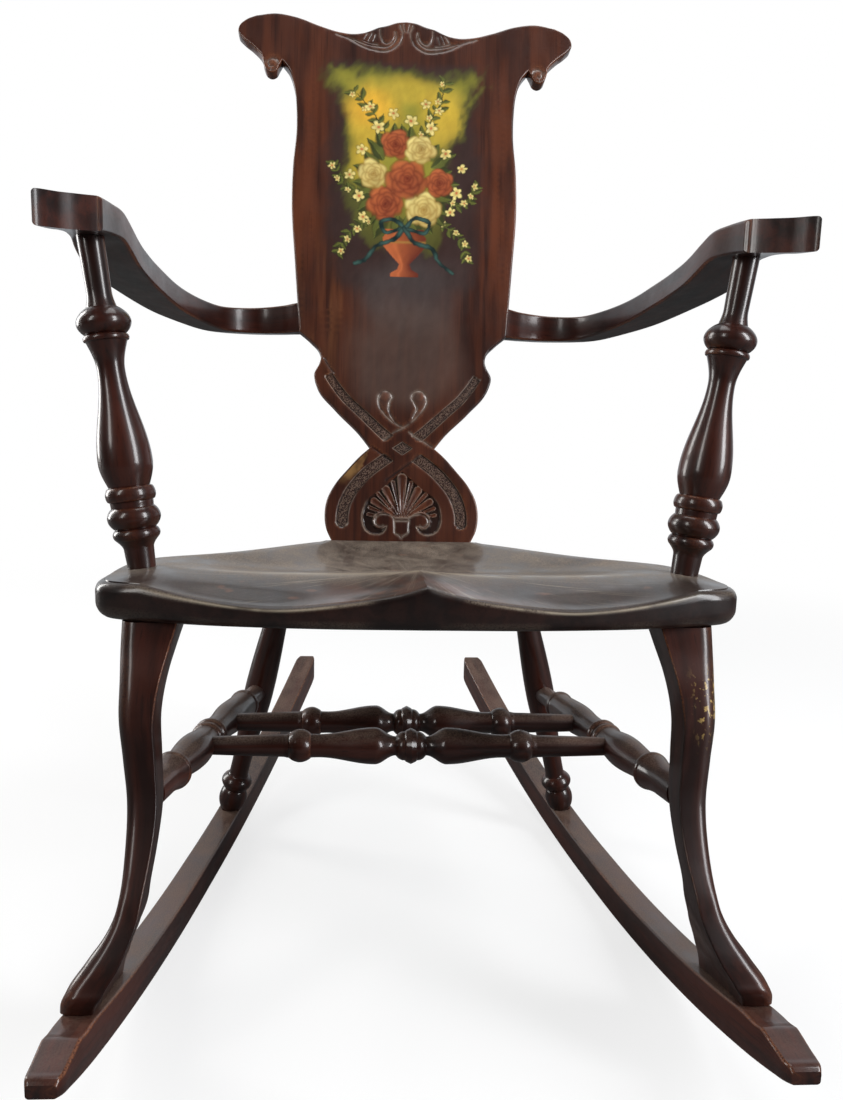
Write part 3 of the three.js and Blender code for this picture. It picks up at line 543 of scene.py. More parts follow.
# %% Rockers
NOSE_SHARES = ([0.0, 0.006, 0.025, 0.06, 0.092, 0.100, 0.110, 0.125, 0.155, 0.19, 0.24],
               [0.31, 0.40, 0.50, 0.68, 0.855, 0.895, 0.90, 0.90, 0.95, 0.99, 1.0])
TAIL_SHARES = ([0.0, 0.006, 0.016, 0.03], [0.55, 0.80, 0.95, 1.0])
TIP_NARROW = ([0.0, 0.01, 0.05, 0.10, 0.14], [0.74, 0.84, 0.93, 0.98, 1.0])
TAIL_NARROW = ([0.0, 0.01, 0.03], [0.80, 0.95, 1.0])
ROCKER_STATIONS, ROCKER_SOFT = 260, 2.6
NEAR_TIP, NEAR_TAIL = 60.0, 40.0
NOSE_CLEAN, NOSE_SWEPT = (50.0, 90.0), 0.75  # dust sets in over this run, and ahead of it this share is gone

near_tip = ROCKER_TIP + NEAR_TIP * (1 - np.cos(np.linspace(0, np.pi / 2, 40)))
near_tail = ROCKER_TAIL - NEAR_TAIL * (1 - np.cos(np.linspace(np.pi / 2, 0, 30)))
between_tips = np.linspace(near_tip[-1], near_tail[0], ROCKER_STATIONS)[1:-1]
rocker_y = np.concatenate([near_tip, between_tips, near_tail])


def rocker_surface(side):
    """Sections across the strip, each a box with softened corners between the lower and the upper line."""
    from_tip = (rocker_y - ROCKER_TIP) / ROCKER_FRONT_RUN
    from_tail = (ROCKER_TAIL - rocker_y) / ROCKER_REAR_RUN
    top_share = np.where(from_tip < NOSE_SHARES[0][-1], curve(*NOSE_SHARES, from_tip), 1.0)
    end_share = curve(*TAIL_SHARES, from_tail)
    low = rocker_side(rocker_y, (1 - end_share) * ROCKER_DEPTH)
    high = rocker_side(rocker_y, ROCKER_DEPTH * top_share)
    wide = ROCKER_WIDTH * curve(*TIP_NARROW, from_tip) * curve(*TAIL_NARROW, from_tail)
    middle = rocker_outer(rocker_y) - ROCKER_WIDTH / 2
    half_deep = (high - low) / 2
    soft = np.minimum(ROCKER_SOFT, half_deep * 0.7)
    u, v, edge = softened_box(wide / 2, half_deep, soft)
    y = np.broadcast_to(rocker_y[:, None], u.shape)
    grid = np.stack([side * (middle[:, None] + u), y, (low + high)[:, None] / 2 + v], -1)
    swept = NOSE_SWEPT * (1 - ease(y - ROCKER_TIP, *NOSE_CLEAN))
    return grid, {"grain": np.stack([u, v, y], -1) * MM, "wear": edge, "swept": swept}


for side_name, side in SIDES:
    rocker = skin("rocker_" + side_name + "_bent", *rocker_surface(side))
    dress(rocker, "rocker_" + side_name, mahogany_dusty)

# %% [markdown]
# The rear legs are plain turnings: a ball foot on the rocker, a collar, and a long swelling taper up into
# the seat. They lean, so both of their ends are worked out from the pieces they meet: the foot from the
# rocker's top line and the head from the underside of the seat.

# %% Rear legs
SEAT_HEIGHT, SEAT_THICKNESS, SEAT_SLOPE = 357.0, 38.0, 0.05
REAR_LEG_RADIUS, REAR_LEG_START, REAR_LEG_SUNK = 18.5, 0.66, (5.0, 6.0)
REAR_FOOT_Y, REAR_TOP_Y, REAR_TOP_X = 343.0, 305.0, 136.0
REAR_LEG_CUTS = [
    ("bead", 0.088, 0.72, 0.22),
    ("step", 0.094, 0.74),
    ("bead", 0.150, 0.66, 0.30),
    ("step", 0.156, 0.62),
    ("wave", 0.20, 0.62),
    ("wave", 0.52, 0.93),
    ("wave", 1.0, 0.62),
]


def seat_under(y):
    """Height of the seat's underside, which falls a little towards the back."""
    return SEAT_HEIGHT - SEAT_SLOPE * y


rear_foot = np.array([rocker_outer(REAR_FOOT_Y) - ROCKER_WIDTH / 2, REAR_FOOT_Y,
                      float(rocker_side(REAR_FOOT_Y, ROCKER_DEPTH))])
rear_top = np.array([REAR_TOP_X, REAR_TOP_Y, seat_under(REAR_TOP_Y)])
for side_name, side in SIDES:
    foot, top = mirrored(rear_foot, side), mirrored(rear_top, side)
    profile = turning(REAR_LEG_START, REAR_LEG_CUTS)
    turned_piece("rear_leg_" + side_name, foot, top, profile, REAR_LEG_RADIUS, mahogany, REAR_LEG_SUNK)

# %% [markdown]
# The side stretchers run from the front legs to the rear ones, and two cross stretchers join them. They
# are turned like the posts, and each end runs into the piece it meets, so that no gap can open there.

# %% Side stretchers
SIDE_RADIUS, SIDE_START = 17.8, 0.80
SIDE_FRONT, SIDE_REAR_Z = np.array([229.0, -14.0, 212.0]), 195.0
SIDE_CUTS = [
    ("line", 0.085, 0.80),
    ("flare", 0.152, 0.97),
    ("bead", 0.172, 0.93, 0.06),
    ("step", 0.176, 0.76),
    ("wave", 0.32, 0.96),
    ("wave", 0.425, 0.80),
    ("step", 0.430, 0.86),
    ("bead", 0.452, 0.86, 0.08),
    ("step", 0.457, 0.80),
    ("step", 0.462, 0.88),
    ("bead", 0.486, 0.88, 0.10),
    ("step", 0.492, 0.78),
    ("wave", 0.55, 0.80),
    ("wave", 0.66, 0.95),
    ("wave", 0.80, 0.86),
    ("step", 0.806, 0.92),
    ("bead", 0.826, 0.88, 0.04),
    ("step", 0.832, 0.62),
    ("line", 1.0, 0.58),
]


def at_height(start, end, z):
    """The point of the line from start to end at a height."""
    return start + (end - start) * (z - start[2]) / (end[2] - start[2])


side_rear = at_height(rear_foot, rear_top, SIDE_REAR_Z)
for side_name, side in SIDES:
    start, end = mirrored(SIDE_FRONT, side), mirrored(side_rear, side)
    profile = turning(SIDE_START, SIDE_CUTS)
    turned_piece("side_stretcher_" + side_name, start, end, profile, SIDE_RADIUS, mahogany_dusty)

# %% [markdown]
# A cross stretcher is the same on both sides of its middle, so only half of it is written down, and the
# other half is that one read backwards. Its ends stop inside the side stretchers.

# %% Cross stretchers
CROSS_RADIUS, CROSS_START = 18.0, 0.5
CROSS_PLACES = (("front", 0.374), ("rear", 0.611))  # shares of the way along a side stretcher
CROSS_CUTS = [
    ("line", 0.183, 0.61),
    ("wave", 0.198, 0.66),
    ("bead", 0.252, 0.64, 0.25),
    ("wave", 0.27, 0.63),
    ("wave", 0.41, 1.0),
    ("wave", 0.462, 0.52),
    ("step", 0.468, 0.66),
    ("bead", 0.484, 0.78, 0.04),
    ("step", 0.488, 0.86),
    ("bead", 0.5, 0.98, 0.0),
]
share, width = turning(CROSS_START, CROSS_CUTS)
whole_cross = np.concatenate([share, 1 - share[-2::-1]]), np.concatenate([width, width[-2::-1]])
for place_name, place in CROSS_PLACES:
    end = SIDE_FRONT + (side_rear - SIDE_FRONT) * place - np.array([SIDE_RADIUS / 2, 0, 0])
    start = mirrored(end, -1)
    turned_piece("cross_stretcher_" + place_name, start, end, whole_cross, CROSS_RADIUS, mahogany_dusty)

# %% [markdown]
# The front legs are cabriole: cut from a square board so that the knee stands back, the shin bends in,
# and the toe kicks forward onto the rocker. A box bent with a curve would keep its corners square all the
# way. Here each level has its own middle, width and depth, and smooth curves through them give the leg
# its line.

# %% Front legs
LEG_TOP_SPREAD, LEG_SETBACK, LEG_WIDTH, LEG_DEPTH = 252.0, -5.0, 47.0, 47.0
LEG_KICK, LEG_BOW, LEG_SOFT, LEG_CRISP, LEG_TAPER = 118.0, 22.0, 15.0, 1.6, 11.0
# Height share, kick share, depth share, bow share, width share
LEG_LEVELS = np.array([
    [0.0, 0.975, 1.95, -0.2, 0.60],
    [0.030, 1.0, 1.95, -0.12, 0.64],
    [0.050, 1.0, 1.90, 0.0, 0.66],
    [0.066, 0.98, 1.84, 0.08, 0.66],
    [0.11, 0.924, 1.57, 0.42, 0.617],
    [0.16, 0.84, 1.16, 0.75, 0.52],
    [0.21, 0.76, 0.88, 0.95, 0.46],
    [0.26, 0.69, 0.74, 1.0, 0.43],
    [0.34, 0.53, 0.64, 0.95, 0.47],
    [0.47, 0.37, 0.61, 0.78, 0.55],
    [0.6, 0.29, 0.66, 0.42, 0.60],
    [0.72, 0.237, 0.75, 0.1, 0.65],
    [0.84, 0.15, 0.85, 0.0, 0.76],
    [0.92, 0.06, 0.93, -0.03, 0.9],
    [1.0, 0.0, 1.0, 0.0, 1.03],
])
LEG_STATIONS, TOE_STATIONS, TOE_SHARE = 150, 50, 0.12
LEG_CORNER_STEPS, LEG_GAP = 14, 0.4
TAPER_SHARES, SOLE_SHARE = (0.15, 0.40), 0.13
CHIPS_BEGIN, CHIPS_END = (0.56, 0.74), (0.84, 0.93)
toe_back = LEG_SETBACK - LEG_KICK
leg_foot_height = float(rocker_side(toe_back, ROCKER_DEPTH))


def front_leg_surface(side):
    """Level sections from the sole to the seat: a softened box round a middle that follows the curves."""
    toe_levels = np.linspace(0, TOE_SHARE, TOE_STATIONS)
    height = np.concatenate([toe_levels, np.linspace(TOE_SHARE, 1, LEG_STATIONS)[1:]])
    kick, deep, bow, wide = curve(LEG_LEVELS[:, 0], LEG_LEVELS[:, 1:], height).T
    front = LEG_SETBACK - LEG_KICK * kick
    back = front + LEG_DEPTH * deep
    toe = rocker_outer(toe_back) - ROCKER_WIDTH / 2
    top = LEG_TOP_SPREAD - LEG_WIDTH / 2
    middle = toe + (top - toe) * height - LEG_BOW * bow
    half_wide, half_deep = LEG_WIDTH * wide / 2, (back - front) / 2
    soft = np.minimum(LEG_SOFT, half_wide * 0.9)
    corners = [soft * 0.7, LEG_CRISP, LEG_CRISP, soft]
    u, v, edge = softened_box(half_wide, half_deep, corners, LEG_CORNER_STEPS)
    share = height[:, None]
    behind = (v / half_deep[:, None] + 1) / 2
    u = u - (u > 0) * LEG_TAPER * behind * (1 - ease(share, *TAPER_SHARES))
    y = (front + back)[:, None] / 2 + v
    sole = rocker_side(y, ROCKER_DEPTH) + LEG_GAP
    low = leg_foot_height + (sole - leg_foot_height) * np.clip(1 - share / SOLE_SHARE, 0, 1)
    z = low + (seat_under(y) - LEG_GAP - low) * share
    grid = np.stack([side * (middle[:, None] + u), y, z], -1)
    chips = (side > 0) * (u > 0) * (v < 0) * ease(share, *CHIPS_BEGIN) * (1 - ease(share, *CHIPS_END))
    wear = edge * np.where(u < 0, 1.0, 0.35)
    return grid, {"grain": np.stack([u, v, z], -1) * MM, "wear": wear, "chips": chips}


for side_name, side in SIDES:
    leg = skin("front_leg_" + side_name + "_cabriole", *front_leg_surface(side))
    dress(leg, "front_leg_" + side_name, mahogany_dull)

# %% [markdown]
# The arms are flat boards in plan curves: a lobed hand over the post, a narrow waist behind it, and a
# sweep inwards to lap the splat's back. An outline pushed up into a slab would be flat and even, but a
# real arm swells towards its lap and its underside rises and falls, so the board is built from stations
# instead. The hand ends in an upright face with two lobes and a cove between them. For that the sections
# need points all across the board, and the end is closed from its top edge straight down to its lower
# one.

# %% Arms
ARM_HALF_SPREAD, ARM_FRONT, ARM_RUN = 326.0, 25.0, 540.0
ARM_HEIGHT, ARM_FALL, ARM_THICKNESS, ARM_SOFT = 679.0, 49.0, 27.0, 3.2
# Shares of the half spread and of the run: inner x, inner y, outer x, outer y
ARM_EDGES = np.array([
    [0.816, 0.1, 0.926, 0],
    [0.819, 0.13, 0.928, 0.07],
    [0.823, 0.185, 0.941, 0.16],
    [0.824, 0.26, 0.967, 0.25],
    [0.828, 0.35, 0.99, 0.33],
    [0.833, 0.445, 1, 0.43],
    [0.832, 0.54, 0.991, 0.53],
    [0.82, 0.67, 0.965, 0.65],
    [0.79, 0.78, 0.918, 0.77],
    [0.748, 0.87, 0.845, 0.882],
    [0.69, 0.935, 0.752, 0.975],
    [0.59, 0.965, 0.615, 1.03],
    [0.485, 0.945, 0.5, 1.01],
    [0.405, 0.915, 0.415, 0.98],
    [0.27, 0.9, 0.27, 0.98],
])
ARM_UNDER = ([0, 0.06, 0.11, 0.2, 0.27, 0.32, 0.37, 0.5, 0.61, 0.75, 0.84, 0.93, 1.1],
             [0.27, 0.2, 0.12, 0.02, 0, 0.1, 0.22, 0.41, 0.55, 0.76, 0.88, 1, 1])
ARM_SWELL = ([0, 0.6, 0.8, 1], [1, 1, 1.22, 1.45])
# Share across the hand's end from its inner corner, and how far the end stands out there
HAND_LOBES = ([0.0, 0.04, 0.12, 0.28, 0.44, 0.52, 0.62, 0.74, 0.86, 0.95, 1.0],
              [-2.8, -0.7, 0.7, 1.6, 1.2, 0.2, -0.7, -0.1, 0.8, 0.3, -0.9])
HAND_DEPTH, HAND_ROWS, HAND_STATIONS = 0.6, 2, 40  # the first two are counted in rows of ARM_EDGES
ARM_STATIONS, ARM_ACROSS = 190, 44


def arm_under(y):
    """Height of the arm's underside over its run."""
    return ARM_HEIGHT - ARM_FALL * curve(*ARM_UNDER, (y + ARM_FRONT) / ARM_RUN)


def board_section(half_wide, half_deep, soft):
    """Across the top and back below: v = half - r (1 - sqrt(1 - d^2)), d being how far into the edge."""
    turn = np.linspace(0, np.pi, ARM_ACROSS)
    across = half_wide[:, None] * np.cos(turn)
    into = np.clip((np.abs(across) - half_wide[:, None] + soft) / soft, 0, 1)
    high = half_deep[:, None] - soft * (1 - np.sqrt(1 - into ** 2))
    edge = np.sin(np.pi * into)
    round_trip = [(across, across), (high, -high), (edge, edge)]
    return [np.hstack([there, back[:, ::-1]]) for there, back in round_trip]


def arm_surface(side):
    """Stations from hand to lap. Each has an inner and an outer edge, and a soft-edged section between."""
    hand = np.linspace(0, HAND_ROWS, HAND_STATIONS)
    rest = np.linspace(HAND_ROWS, len(ARM_EDGES) - 1, ARM_STATIONS - HAND_STATIONS + 1)[1:]
    place = np.concatenate([hand, rest])
    edges = curve(np.arange(len(ARM_EDGES)), ARM_EDGES, place)
    inner = edges[:, :2] * [ARM_HALF_SPREAD, ARM_RUN] - [0, ARM_FRONT]
    outer = edges[:, 2:] * [ARM_HALF_SPREAD, ARM_RUN] - [0, ARM_FRONT]
    span = outer - inner
    half_wide = np.linalg.norm(span, axis=1) / 2
    half_deep = ARM_THICKNESS * curve(*ARM_SWELL, place / place[-1]) / 2
    u, v, edge = board_section(half_wide, half_deep, ARM_SOFT)
    share = (u / half_wide[:, None] + 1) / 2
    ahead = span[:, ::-1] * [-1, 1] / (2 * half_wide[:, None])
    ahead *= -np.sign(ahead[:, 1:])
    lobes = curve(*HAND_LOBES, share) * (1 - ease(place, 0, HAND_DEPTH))[:, None]
    plan = inner[:, None] + span[:, None] * share[..., None] + ahead[:, None] * lobes[..., None]
    z = arm_under(plan[..., 1]) + half_deep[:, None] + v
    grid = np.stack([side * plan[..., 0], plan[..., 1], z], -1)
    run = np.cumsum(np.concatenate([[0], np.linalg.norm(np.diff((inner + outer) / 2, axis=0), axis=1)]))
    grain = np.stack([u, v, np.broadcast_to(run[:, None], u.shape)], -1)
    return grid, grain * MM, edge


def closed_strip(rows, columns):
    """Quads of the grid, and at both ends quads from each point of the top edge to the one below it."""
    ids = np.arange(rows * columns).reshape(rows, columns)
    upper, lower = ids[:, :columns // 2], ids[:, :columns // 2 - 1:-1]
    start = np.stack([upper[0, 1:], upper[0, :-1], lower[0, :-1], lower[0, 1:]], -1)
    end = np.stack([upper[-1, :-1], upper[-1, 1:], lower[-1, 1:], lower[-1, :-1]], -1)
    return np.vstack([ring_quads(ids), start, end])


no_fans = np.zeros((0, 3), int)
for side_name, side in SIDES:
    grid, grain, wear = arm_surface(side)
    quads = closed_strip(*grid.shape[:2])
    fields = {"grain": grain.reshape(-1, 3), "wear": wear.ravel()}
    arm = make_mesh("arm_" + side_name + "_shaped", grid.reshape(-1, 3), quads, no_fans, fields)
    dress(arm, "arm_" + side_name, mahogany_arm)

# %% [markdown]
# The seat is one thick plank, saddled: two hollows open in its front edge with a ridge between them, and
# the middle is dished. It could be sculpted, but then nothing would say where the dust and the scratches
# belong. Here its top is a height over a plan that shrinks ring by ring towards the middle.

# %% Seat
SEAT_HALF_WIDTH, SEAT_FRONT_BOW, SEAT_RUN = 280.0, 40.0, 388.0
THIGH_DIP, THIGH_CREST, THIGH_FADE, POMMEL_WIDTH = 16.0, 100.0, 135.0, 38.0
RIM_ROLL, ROLL_RUN, FRONT_SHARE = 5.0, 75.0, 0.72
DISH_DEPTH, DISH_FRONT, DISH_FULL = 14.0, 55.0, 170.0
SEAT_SIDE = [
    [0, 0], [0.32, 0.006], [0.61, 0.03], [0.83, 0.062], [0.92, 0.08], [0.968, 0.101], [0.988, 0.131],
    [0.995, 0.199], [1, 0.315], [0.989, 0.409], [0.954, 0.486], [0.886, 0.537], [0.804, 0.579],
    [0.679, 0.661], [0.554, 0.776], [0.464, 0.869],
]
SEAT_BACK = [[0.464, 0.869], [0.404, 0.925], [0.365, 0.96], [0.345, 1]]


def seat_top(x, y, ring):
    """Plank top, less the thigh hollows, the dish and the roll to the rim. ring is 1 on the outline."""
    across = np.abs(x)
    opened = 1 - np.exp(-across / POMMEL_WIDTH)
    fade = 1 - np.clip((across - THIGH_CREST) / THIGH_FADE, 0, 1) ** 2
    roll = 1 - FRONT_SHARE * ease(y, -SEAT_FRONT_BOW / 2, ROLL_RUN)
    roll = roll - (1 - FRONT_SHARE) * ease(y, ROLL_RUN, DISH_FULL)
    dish = DISH_DEPTH * (1 - ease(ring, 0.45, 0.98)) * ease(y, DISH_FRONT, DISH_FULL)
    flank = np.maximum(ease(across, POMMEL_WIDTH, THIGH_FADE), ease(y, ROLL_RUN, DISH_FULL))
    rim = RIM_ROLL * ease(ring, 0.8, 1) * flank
    return seat_under(y) + SEAT_THICKNESS - THIGH_DIP * opened * fade * roll - dish - rim


def seat_outline():
    """The plan as one closed line: half of it from smooth runs, and its mirror image."""
    depth = SEAT_FRONT_BOW + SEAT_RUN
    sides = through(SEAT_SIDE, 120)
    back = through(SEAT_BACK, 16)[1:]
    across = np.linspace(1, 0, 40)[1:-1, None] * [SEAT_BACK[-1][0], 0] + [0, 1]
    half = np.vstack([sides, back, across])
    half = half * [SEAT_HALF_WIDTH, depth] - [0, SEAT_FRONT_BOW]
    other = half[1:][::-1] * [-1, 1]
    return np.vstack([half, [[0, SEAT_RUN]], other])


# %% [markdown]
# The rings run from the middle of the top out to the rim, round its upper edge, down its side, round its
# lower edge and back in below. The upper edge is rounder at the front corners, where hands and legs have
# rubbed it.

# %% Rings of the seat
# Each rounding everywhere, and what is added to it at a front corner
TOP_ROUND, SIDE_ROUND, LOW_ROUND = (5.0, 4.0), (3.0, 5.0), (9.0, 5.0)
CORNER_X, CORNER_Y = (170, 262), (40, 150)
ROUND_LIFT = 1.5
outline = seat_outline()
middle = np.array([0.0, SEAT_RUN / 2])
inward = middle - outline
inward /= np.linalg.norm(inward, axis=1)[:, None]
at_corner = ease(np.abs(outline[:, 0]), *CORNER_X) * (1 - ease(outline[:, 1], *CORNER_Y))
roundings = [least + more * at_corner for least, more in (TOP_ROUND, SIDE_ROUND, LOW_ROUND)]
top_round, side_round, low_round = roundings
top_edge, low_edge = seat_top(*outline.T, 1.0), seat_under(outline[:, 1])
rings, wears = [], []


def add_ring(plan, height, worn):
    """One more ring of the seat, and how worn it is."""
    rings.append(np.column_stack([plan, height]))
    wears.append(worn)


top_shares = np.concatenate([[0.02], np.linspace(0.06, 0.9, 46), np.linspace(0.91, 0.975, 8)])
for ring in top_shares:
    plan = middle + (outline - middle) * ring
    add_ring(plan, seat_top(*plan.T, ring), 0.25 * ease(ring, 0.95, 0.99))
turn = np.linspace(0, np.pi / 2, 9)
for angle in turn:
    plan = outline + inward * (side_round * (1 - np.sin(angle)))[:, None]
    height = top_edge - RIM_ROLL / 2 - top_round * (1 - np.cos(angle)) + ROUND_LIFT
    add_ring(plan, height, 0.3 * math.sin(2 * angle) ** 3)
for angle in np.linspace(0, np.pi / 2, 10):
    plan = outline + inward * (low_round * (1 - math.cos(angle)))[:, None]
    add_ring(plan, low_edge + low_round * (1 - math.sin(angle)), 0.15 * math.sin(2 * angle))
for ring in (0.9, 0.6, 0.3, 0.02):
    plan = middle + (outline - middle) * ring
    add_ring(plan, seat_under(plan[:, 1]), 0.0)
grid = np.array(rings)
print("seat:", grid.shape[0], "rings of", grid.shape[1], "points")

# %% [markdown]
# Years of sitting leave dust in the dish, fine pale scratches that fan out from the ridge and bare places in
# the hollows, and a thin painted highlight runs along the ridge and the front edge. Each is a number on
# every point of the grid. A painted mask would be finer, but a formula can follow the plan of the seat
# exactly.

# %% Years of sitting
FAN_FOOT = np.array([0.0, 72.0])  # where the scratches would meet
spread = grid[..., :2] - FAN_FOOT
reach = np.hypot(spread[..., 0], spread[..., 1])
fan = np.concatenate([spread / np.maximum(reach, 1)[..., None], reach[..., None] * MM], -1)
sat = np.broadcast_to((np.arange(len(grid)) < len(top_shares))[:, None], reach.shape)
scratched = sat * (1 - ease(reach, 70, 250)) * ease(reach, 4, 30)
aside, back = np.abs(grid[..., 0]), grid[..., 1]
# A painted highlight along the ridge in front of the dish, and on the rounding of the front edge
seat_highlight_line = sat * np.exp(-((back - 60 - 0.07 * aside) / 9.0) ** 2) * (1 - ease(aside, 120, 230))
on_edge = ease(aside, 30, 90) * (1 - ease(aside, 190, 250)) * (1 - ease(back, 10, 60))
rounding = slice(len(top_shares), len(top_shares) + len(turn))
seat_highlight_line[rounding] = (np.sin(2 * turn) ** 10)[:, None] * on_edge[rounding]
fields = {
    "grain": grid[..., [0, 2, 1]] * MM,
    "wear": np.broadcast_to(np.array(wears)[:, None], reach.shape),
    "fan": fan,
    "sat": sat,
    "scratched": scratched,
    "rub_and_highlight": seat_highlight_line,
    "bare": sat * np.exp(-((aside - 40) / 45) ** 2) * (1 - ease(back, 5, 55)),
    "swept": 0.8 * (1 - ease(back, 10, 75)),
}
seat = skin("seat_saddle", grid, fields)

# %% [markdown]
# The seat wears the same varnish as the rest, duller and greyer, with the marks of sitting laid over the
# stain. Its scratches are noise that is fine across their direction and long along it, which a picture
# could only give at one size.

# %% Finish of the seat
BARE_WOOD, SCRATCH_AND_HIGHLIGHT, WARM_SPOT = (0.150, 0.052, 0.026), (0.40, 0.34, 0.25), (0.16, 0.055, 0.022)


def sat_on(kit, grain, color):
    """Colour: bare places, scratches, the painted highlight line and warm spots. Height: the scratches."""
    fan, sat = kit.field("fan"), kit.field("sat", "Fac")
    hair = kit.noise(fan, (26, 26, 7), 4.0, 0.7)
    broad = kit.noise(fan, (5, 5, 5), 3.0, 0.6)
    marks = hair.between(0.54, 0.66) * broad.between(0.35, 0.6) * kit.field("scratched", "Fac")
    line = kit.field("rub_and_highlight", "Fac") * broad.between(0.30, 0.50)
    cloud = kit.noise(grain, (20, 20, 20), 4.0, 0.6)
    color = kit.mix(kit.field("bare", "Fac") * cloud.between(0.35, 0.65) * 0.6, color, BARE_WOOD)
    # Scratches and the painted highlight line, in one pale colour
    color = kit.mix((marks * 0.55 + line * 0.62).clear(), color, SCRATCH_AND_HIGHLIGHT)
    spots = kit.noise(grain, (34, 34, 34), 2.0, 0.5).between(0.66, 0.74) * sat
    return kit.mix(spots * 0.45, color, WARM_SPOT), hair * sat * 0.5


seat_wood = varnished("seat_varnish", deep=(0.0080, 0.0034, 0.0028), warm=(0.023, 0.0085, 0.0062),
                      worn=(0.42, 0.33, 0.25), dust=0.85, dust_color=(0.225, 0.180, 0.140), coat=0.5,
                      extra=sat_on)
dress(seat, "seat", seat_wood)

# %% [markdown]
# The splat is a board that leans back behind the seat. Its outline is drawn first, in the board's own two
# directions: across, and up from the seat's top. The carving could be cut out with booleans, but they
# leave long thin faces that shade badly. Here everything carved in the front is one depth below that
# face, so the straps, the shell and the cut lines can all be worked out for every point at once.

# %% Outline of the splat
SPLAT_LEAN, SPLAT_THICKNESS = math.radians(13.07), 19.0
SPLAT_HALF_WIDTH, SPLAT_LENGTH, SPLAT_LAP, SPLAT_SOFT = 219.0, 682.3, 30.0, 2.2
POINTS_AT_ONCE = 4000
# Runs that meet at sharp corners: foot and waist, strap end, board, ear with its scroll, crest, finial
SPLAT_RUNS = [
    [[0.402, 0], [0.433, 0.022], [0.443, 0.05], [0.431, 0.075], [0.388, 0.103], [0.315, 0.132],
     [0.235, 0.16], [0.185, 0.174]],
    [[0.185, 0.174], [0.249, 0.2], [0.39, 0.245], [0.5, 0.288], [0.516, 0.31], [0.489, 0.328]],
    [[0.489, 0.328], [0.479, 0.34], [0.491, 0.355], [0.543, 0.374], [0.606, 0.391]],
    [[0.606, 0.391], [0.638, 0.516], [0.664, 0.64], [0.66, 0.71], [0.643, 0.781], [0.646, 0.82],
     [0.662, 0.864], [0.696, 0.8965], [0.735, 0.913]],
    [[0.735, 0.913], [0.753, 0.902], [0.769, 0.892], [0.797, 0.888], [0.827, 0.8925], [0.843, 0.9035],
     [0.853, 0.9175], [0.911, 0.939], [0.966, 0.953], [0.997, 0.965], [0.992, 0.977], [0.95, 0.991],
     [0.893, 0.9995]],
    [[0.893, 0.9995], [0.776, 1.0054], [0.653, 0.9996], [0.511, 0.984], [0.397, 0.974], [0.315, 0.9717],
     [0.251, 0.975], [0.169, 0.9864]],
    [[0.169, 0.9864], [0.11, 0.9915], [0.059, 0.9975], [0, 1]],
]
splat_foot = np.array([0.0, SEAT_RUN, SEAT_HEIGHT + SEAT_THICKNESS - RIM_ROLL - SEAT_SLOPE * SEAT_RUN])
splat_up = np.array([0.0, math.sin(SPLAT_LEAN), math.cos(SPLAT_LEAN)])
splat_out = np.array([0.0, -math.cos(SPLAT_LEAN), math.sin(SPLAT_LEAN)])


def on_splat(flat, out):
    """From the board's own directions to the chair's: foot + up v + out h, with x kept."""
    height = np.broadcast_to(out, flat.shape[:-1])[..., None]
    place = splat_foot + flat[..., 1:] * splat_up + height * splat_out
    return np.concatenate([flat[..., :1], place[..., 1:]], -1)


def splat_outline(step):
    """The whole outline, once round, with points about one step apart."""
    size = np.array([SPLAT_HALF_WIDTH, SPLAT_LENGTH])
    foot = np.array(SPLAT_RUNS[0][0]) * size
    parts = []
    for line in [np.array([foot - [0, SPLAT_LAP], foot])] + [np.array(run) * size for run in SPLAT_RUNS]:
        long = np.linalg.norm(np.diff(line, axis=0), axis=1).sum()
        parts.append(through(line, max(3, round(long / step)))[:-1])
    half = np.vstack(parts + [[[0.0, SPLAT_LENGTH]]])
    under = np.linspace(-1, 1, 24)[1:-1, None] * [foot[0], 0.0] - [0.0, SPLAT_LAP]
    return np.vstack([half, half[:-1][::-1] * [-1, 1], under])


def outward(line):
    """At each corner of a closed line, the step that moves both sides out by one: (a + b) / (1 + a.b)."""
    edge = np.roll(line, -1, 0) - line
    edge /= np.linalg.norm(edge, axis=1)[:, None]
    normal = edge[:, ::-1] * [1, -1]
    both = normal + np.roll(normal, 1, 0)
    return both / np.maximum((both ** 2).sum(1) / 2, 0.8)[:, None]


def nearest(points, line):
    """Distance to a line of straight pieces, and how far along the line its nearest point lies."""
    line = np.asarray(line, dtype=float)
    start, step = line[:-1], np.diff(line, axis=0)
    long = np.linalg.norm(step, axis=1)
    away = points[:, None] - start
    t = np.clip((away * step).sum(-1) / long ** 2, 0, 1)
    gap = np.linalg.norm(away - t[..., None] * step, axis=-1)
    best = gap.argmin(1)
    pick = (np.arange(len(points)), best)
    before = np.concatenate([[0], np.cumsum(long)[:-1]])
    return gap[pick], before[best] + t[pick] * long[best]


def parts_of(points):
    """The points in parts, so that a table of points against lines stays small."""
    return np.array_split(points, max(1, len(points) // POINTS_AT_ONCE))


def inside(points, polygon):
    """True within a closed line: a ray to the right crosses it an odd number of times."""
    here, there = polygon, np.roll(polygon, -1, 0)
    rise = np.where(there[:, 1] == here[:, 1], 1.0, there[:, 1] - here[:, 1])
    slope = (there[:, 0] - here[:, 0]) / rise
    found = []
    for part in parts_of(points):
        x, y = part[:, :1], part[:, 1:]
        crossed = ((here[:, 1] > y) != (there[:, 1] > y)) & (x < here[:, 0] + (y - here[:, 1]) * slope)
        found.append(crossed.sum(1) % 2 == 1)
    return np.concatenate(found)


print(f"splat: {2 * SPLAT_HALF_WIDTH:.0f} mm wide and {SPLAT_LENGTH:.0f} mm long")

# %% [markdown]
# Two straps cross at the waist. Each is a sunk band with a punched floor, between rails at the level of
# the board, and each rail runs on top where it meets the other strap's band. The one that falls from left
# to right is drawn, and the other one is its mirror image. Below them is a fluted shell between two
# scrolls, and single cut lines draw the curls of the straps, the scrolls, the crest and the ears. All are
# lists of a few points.

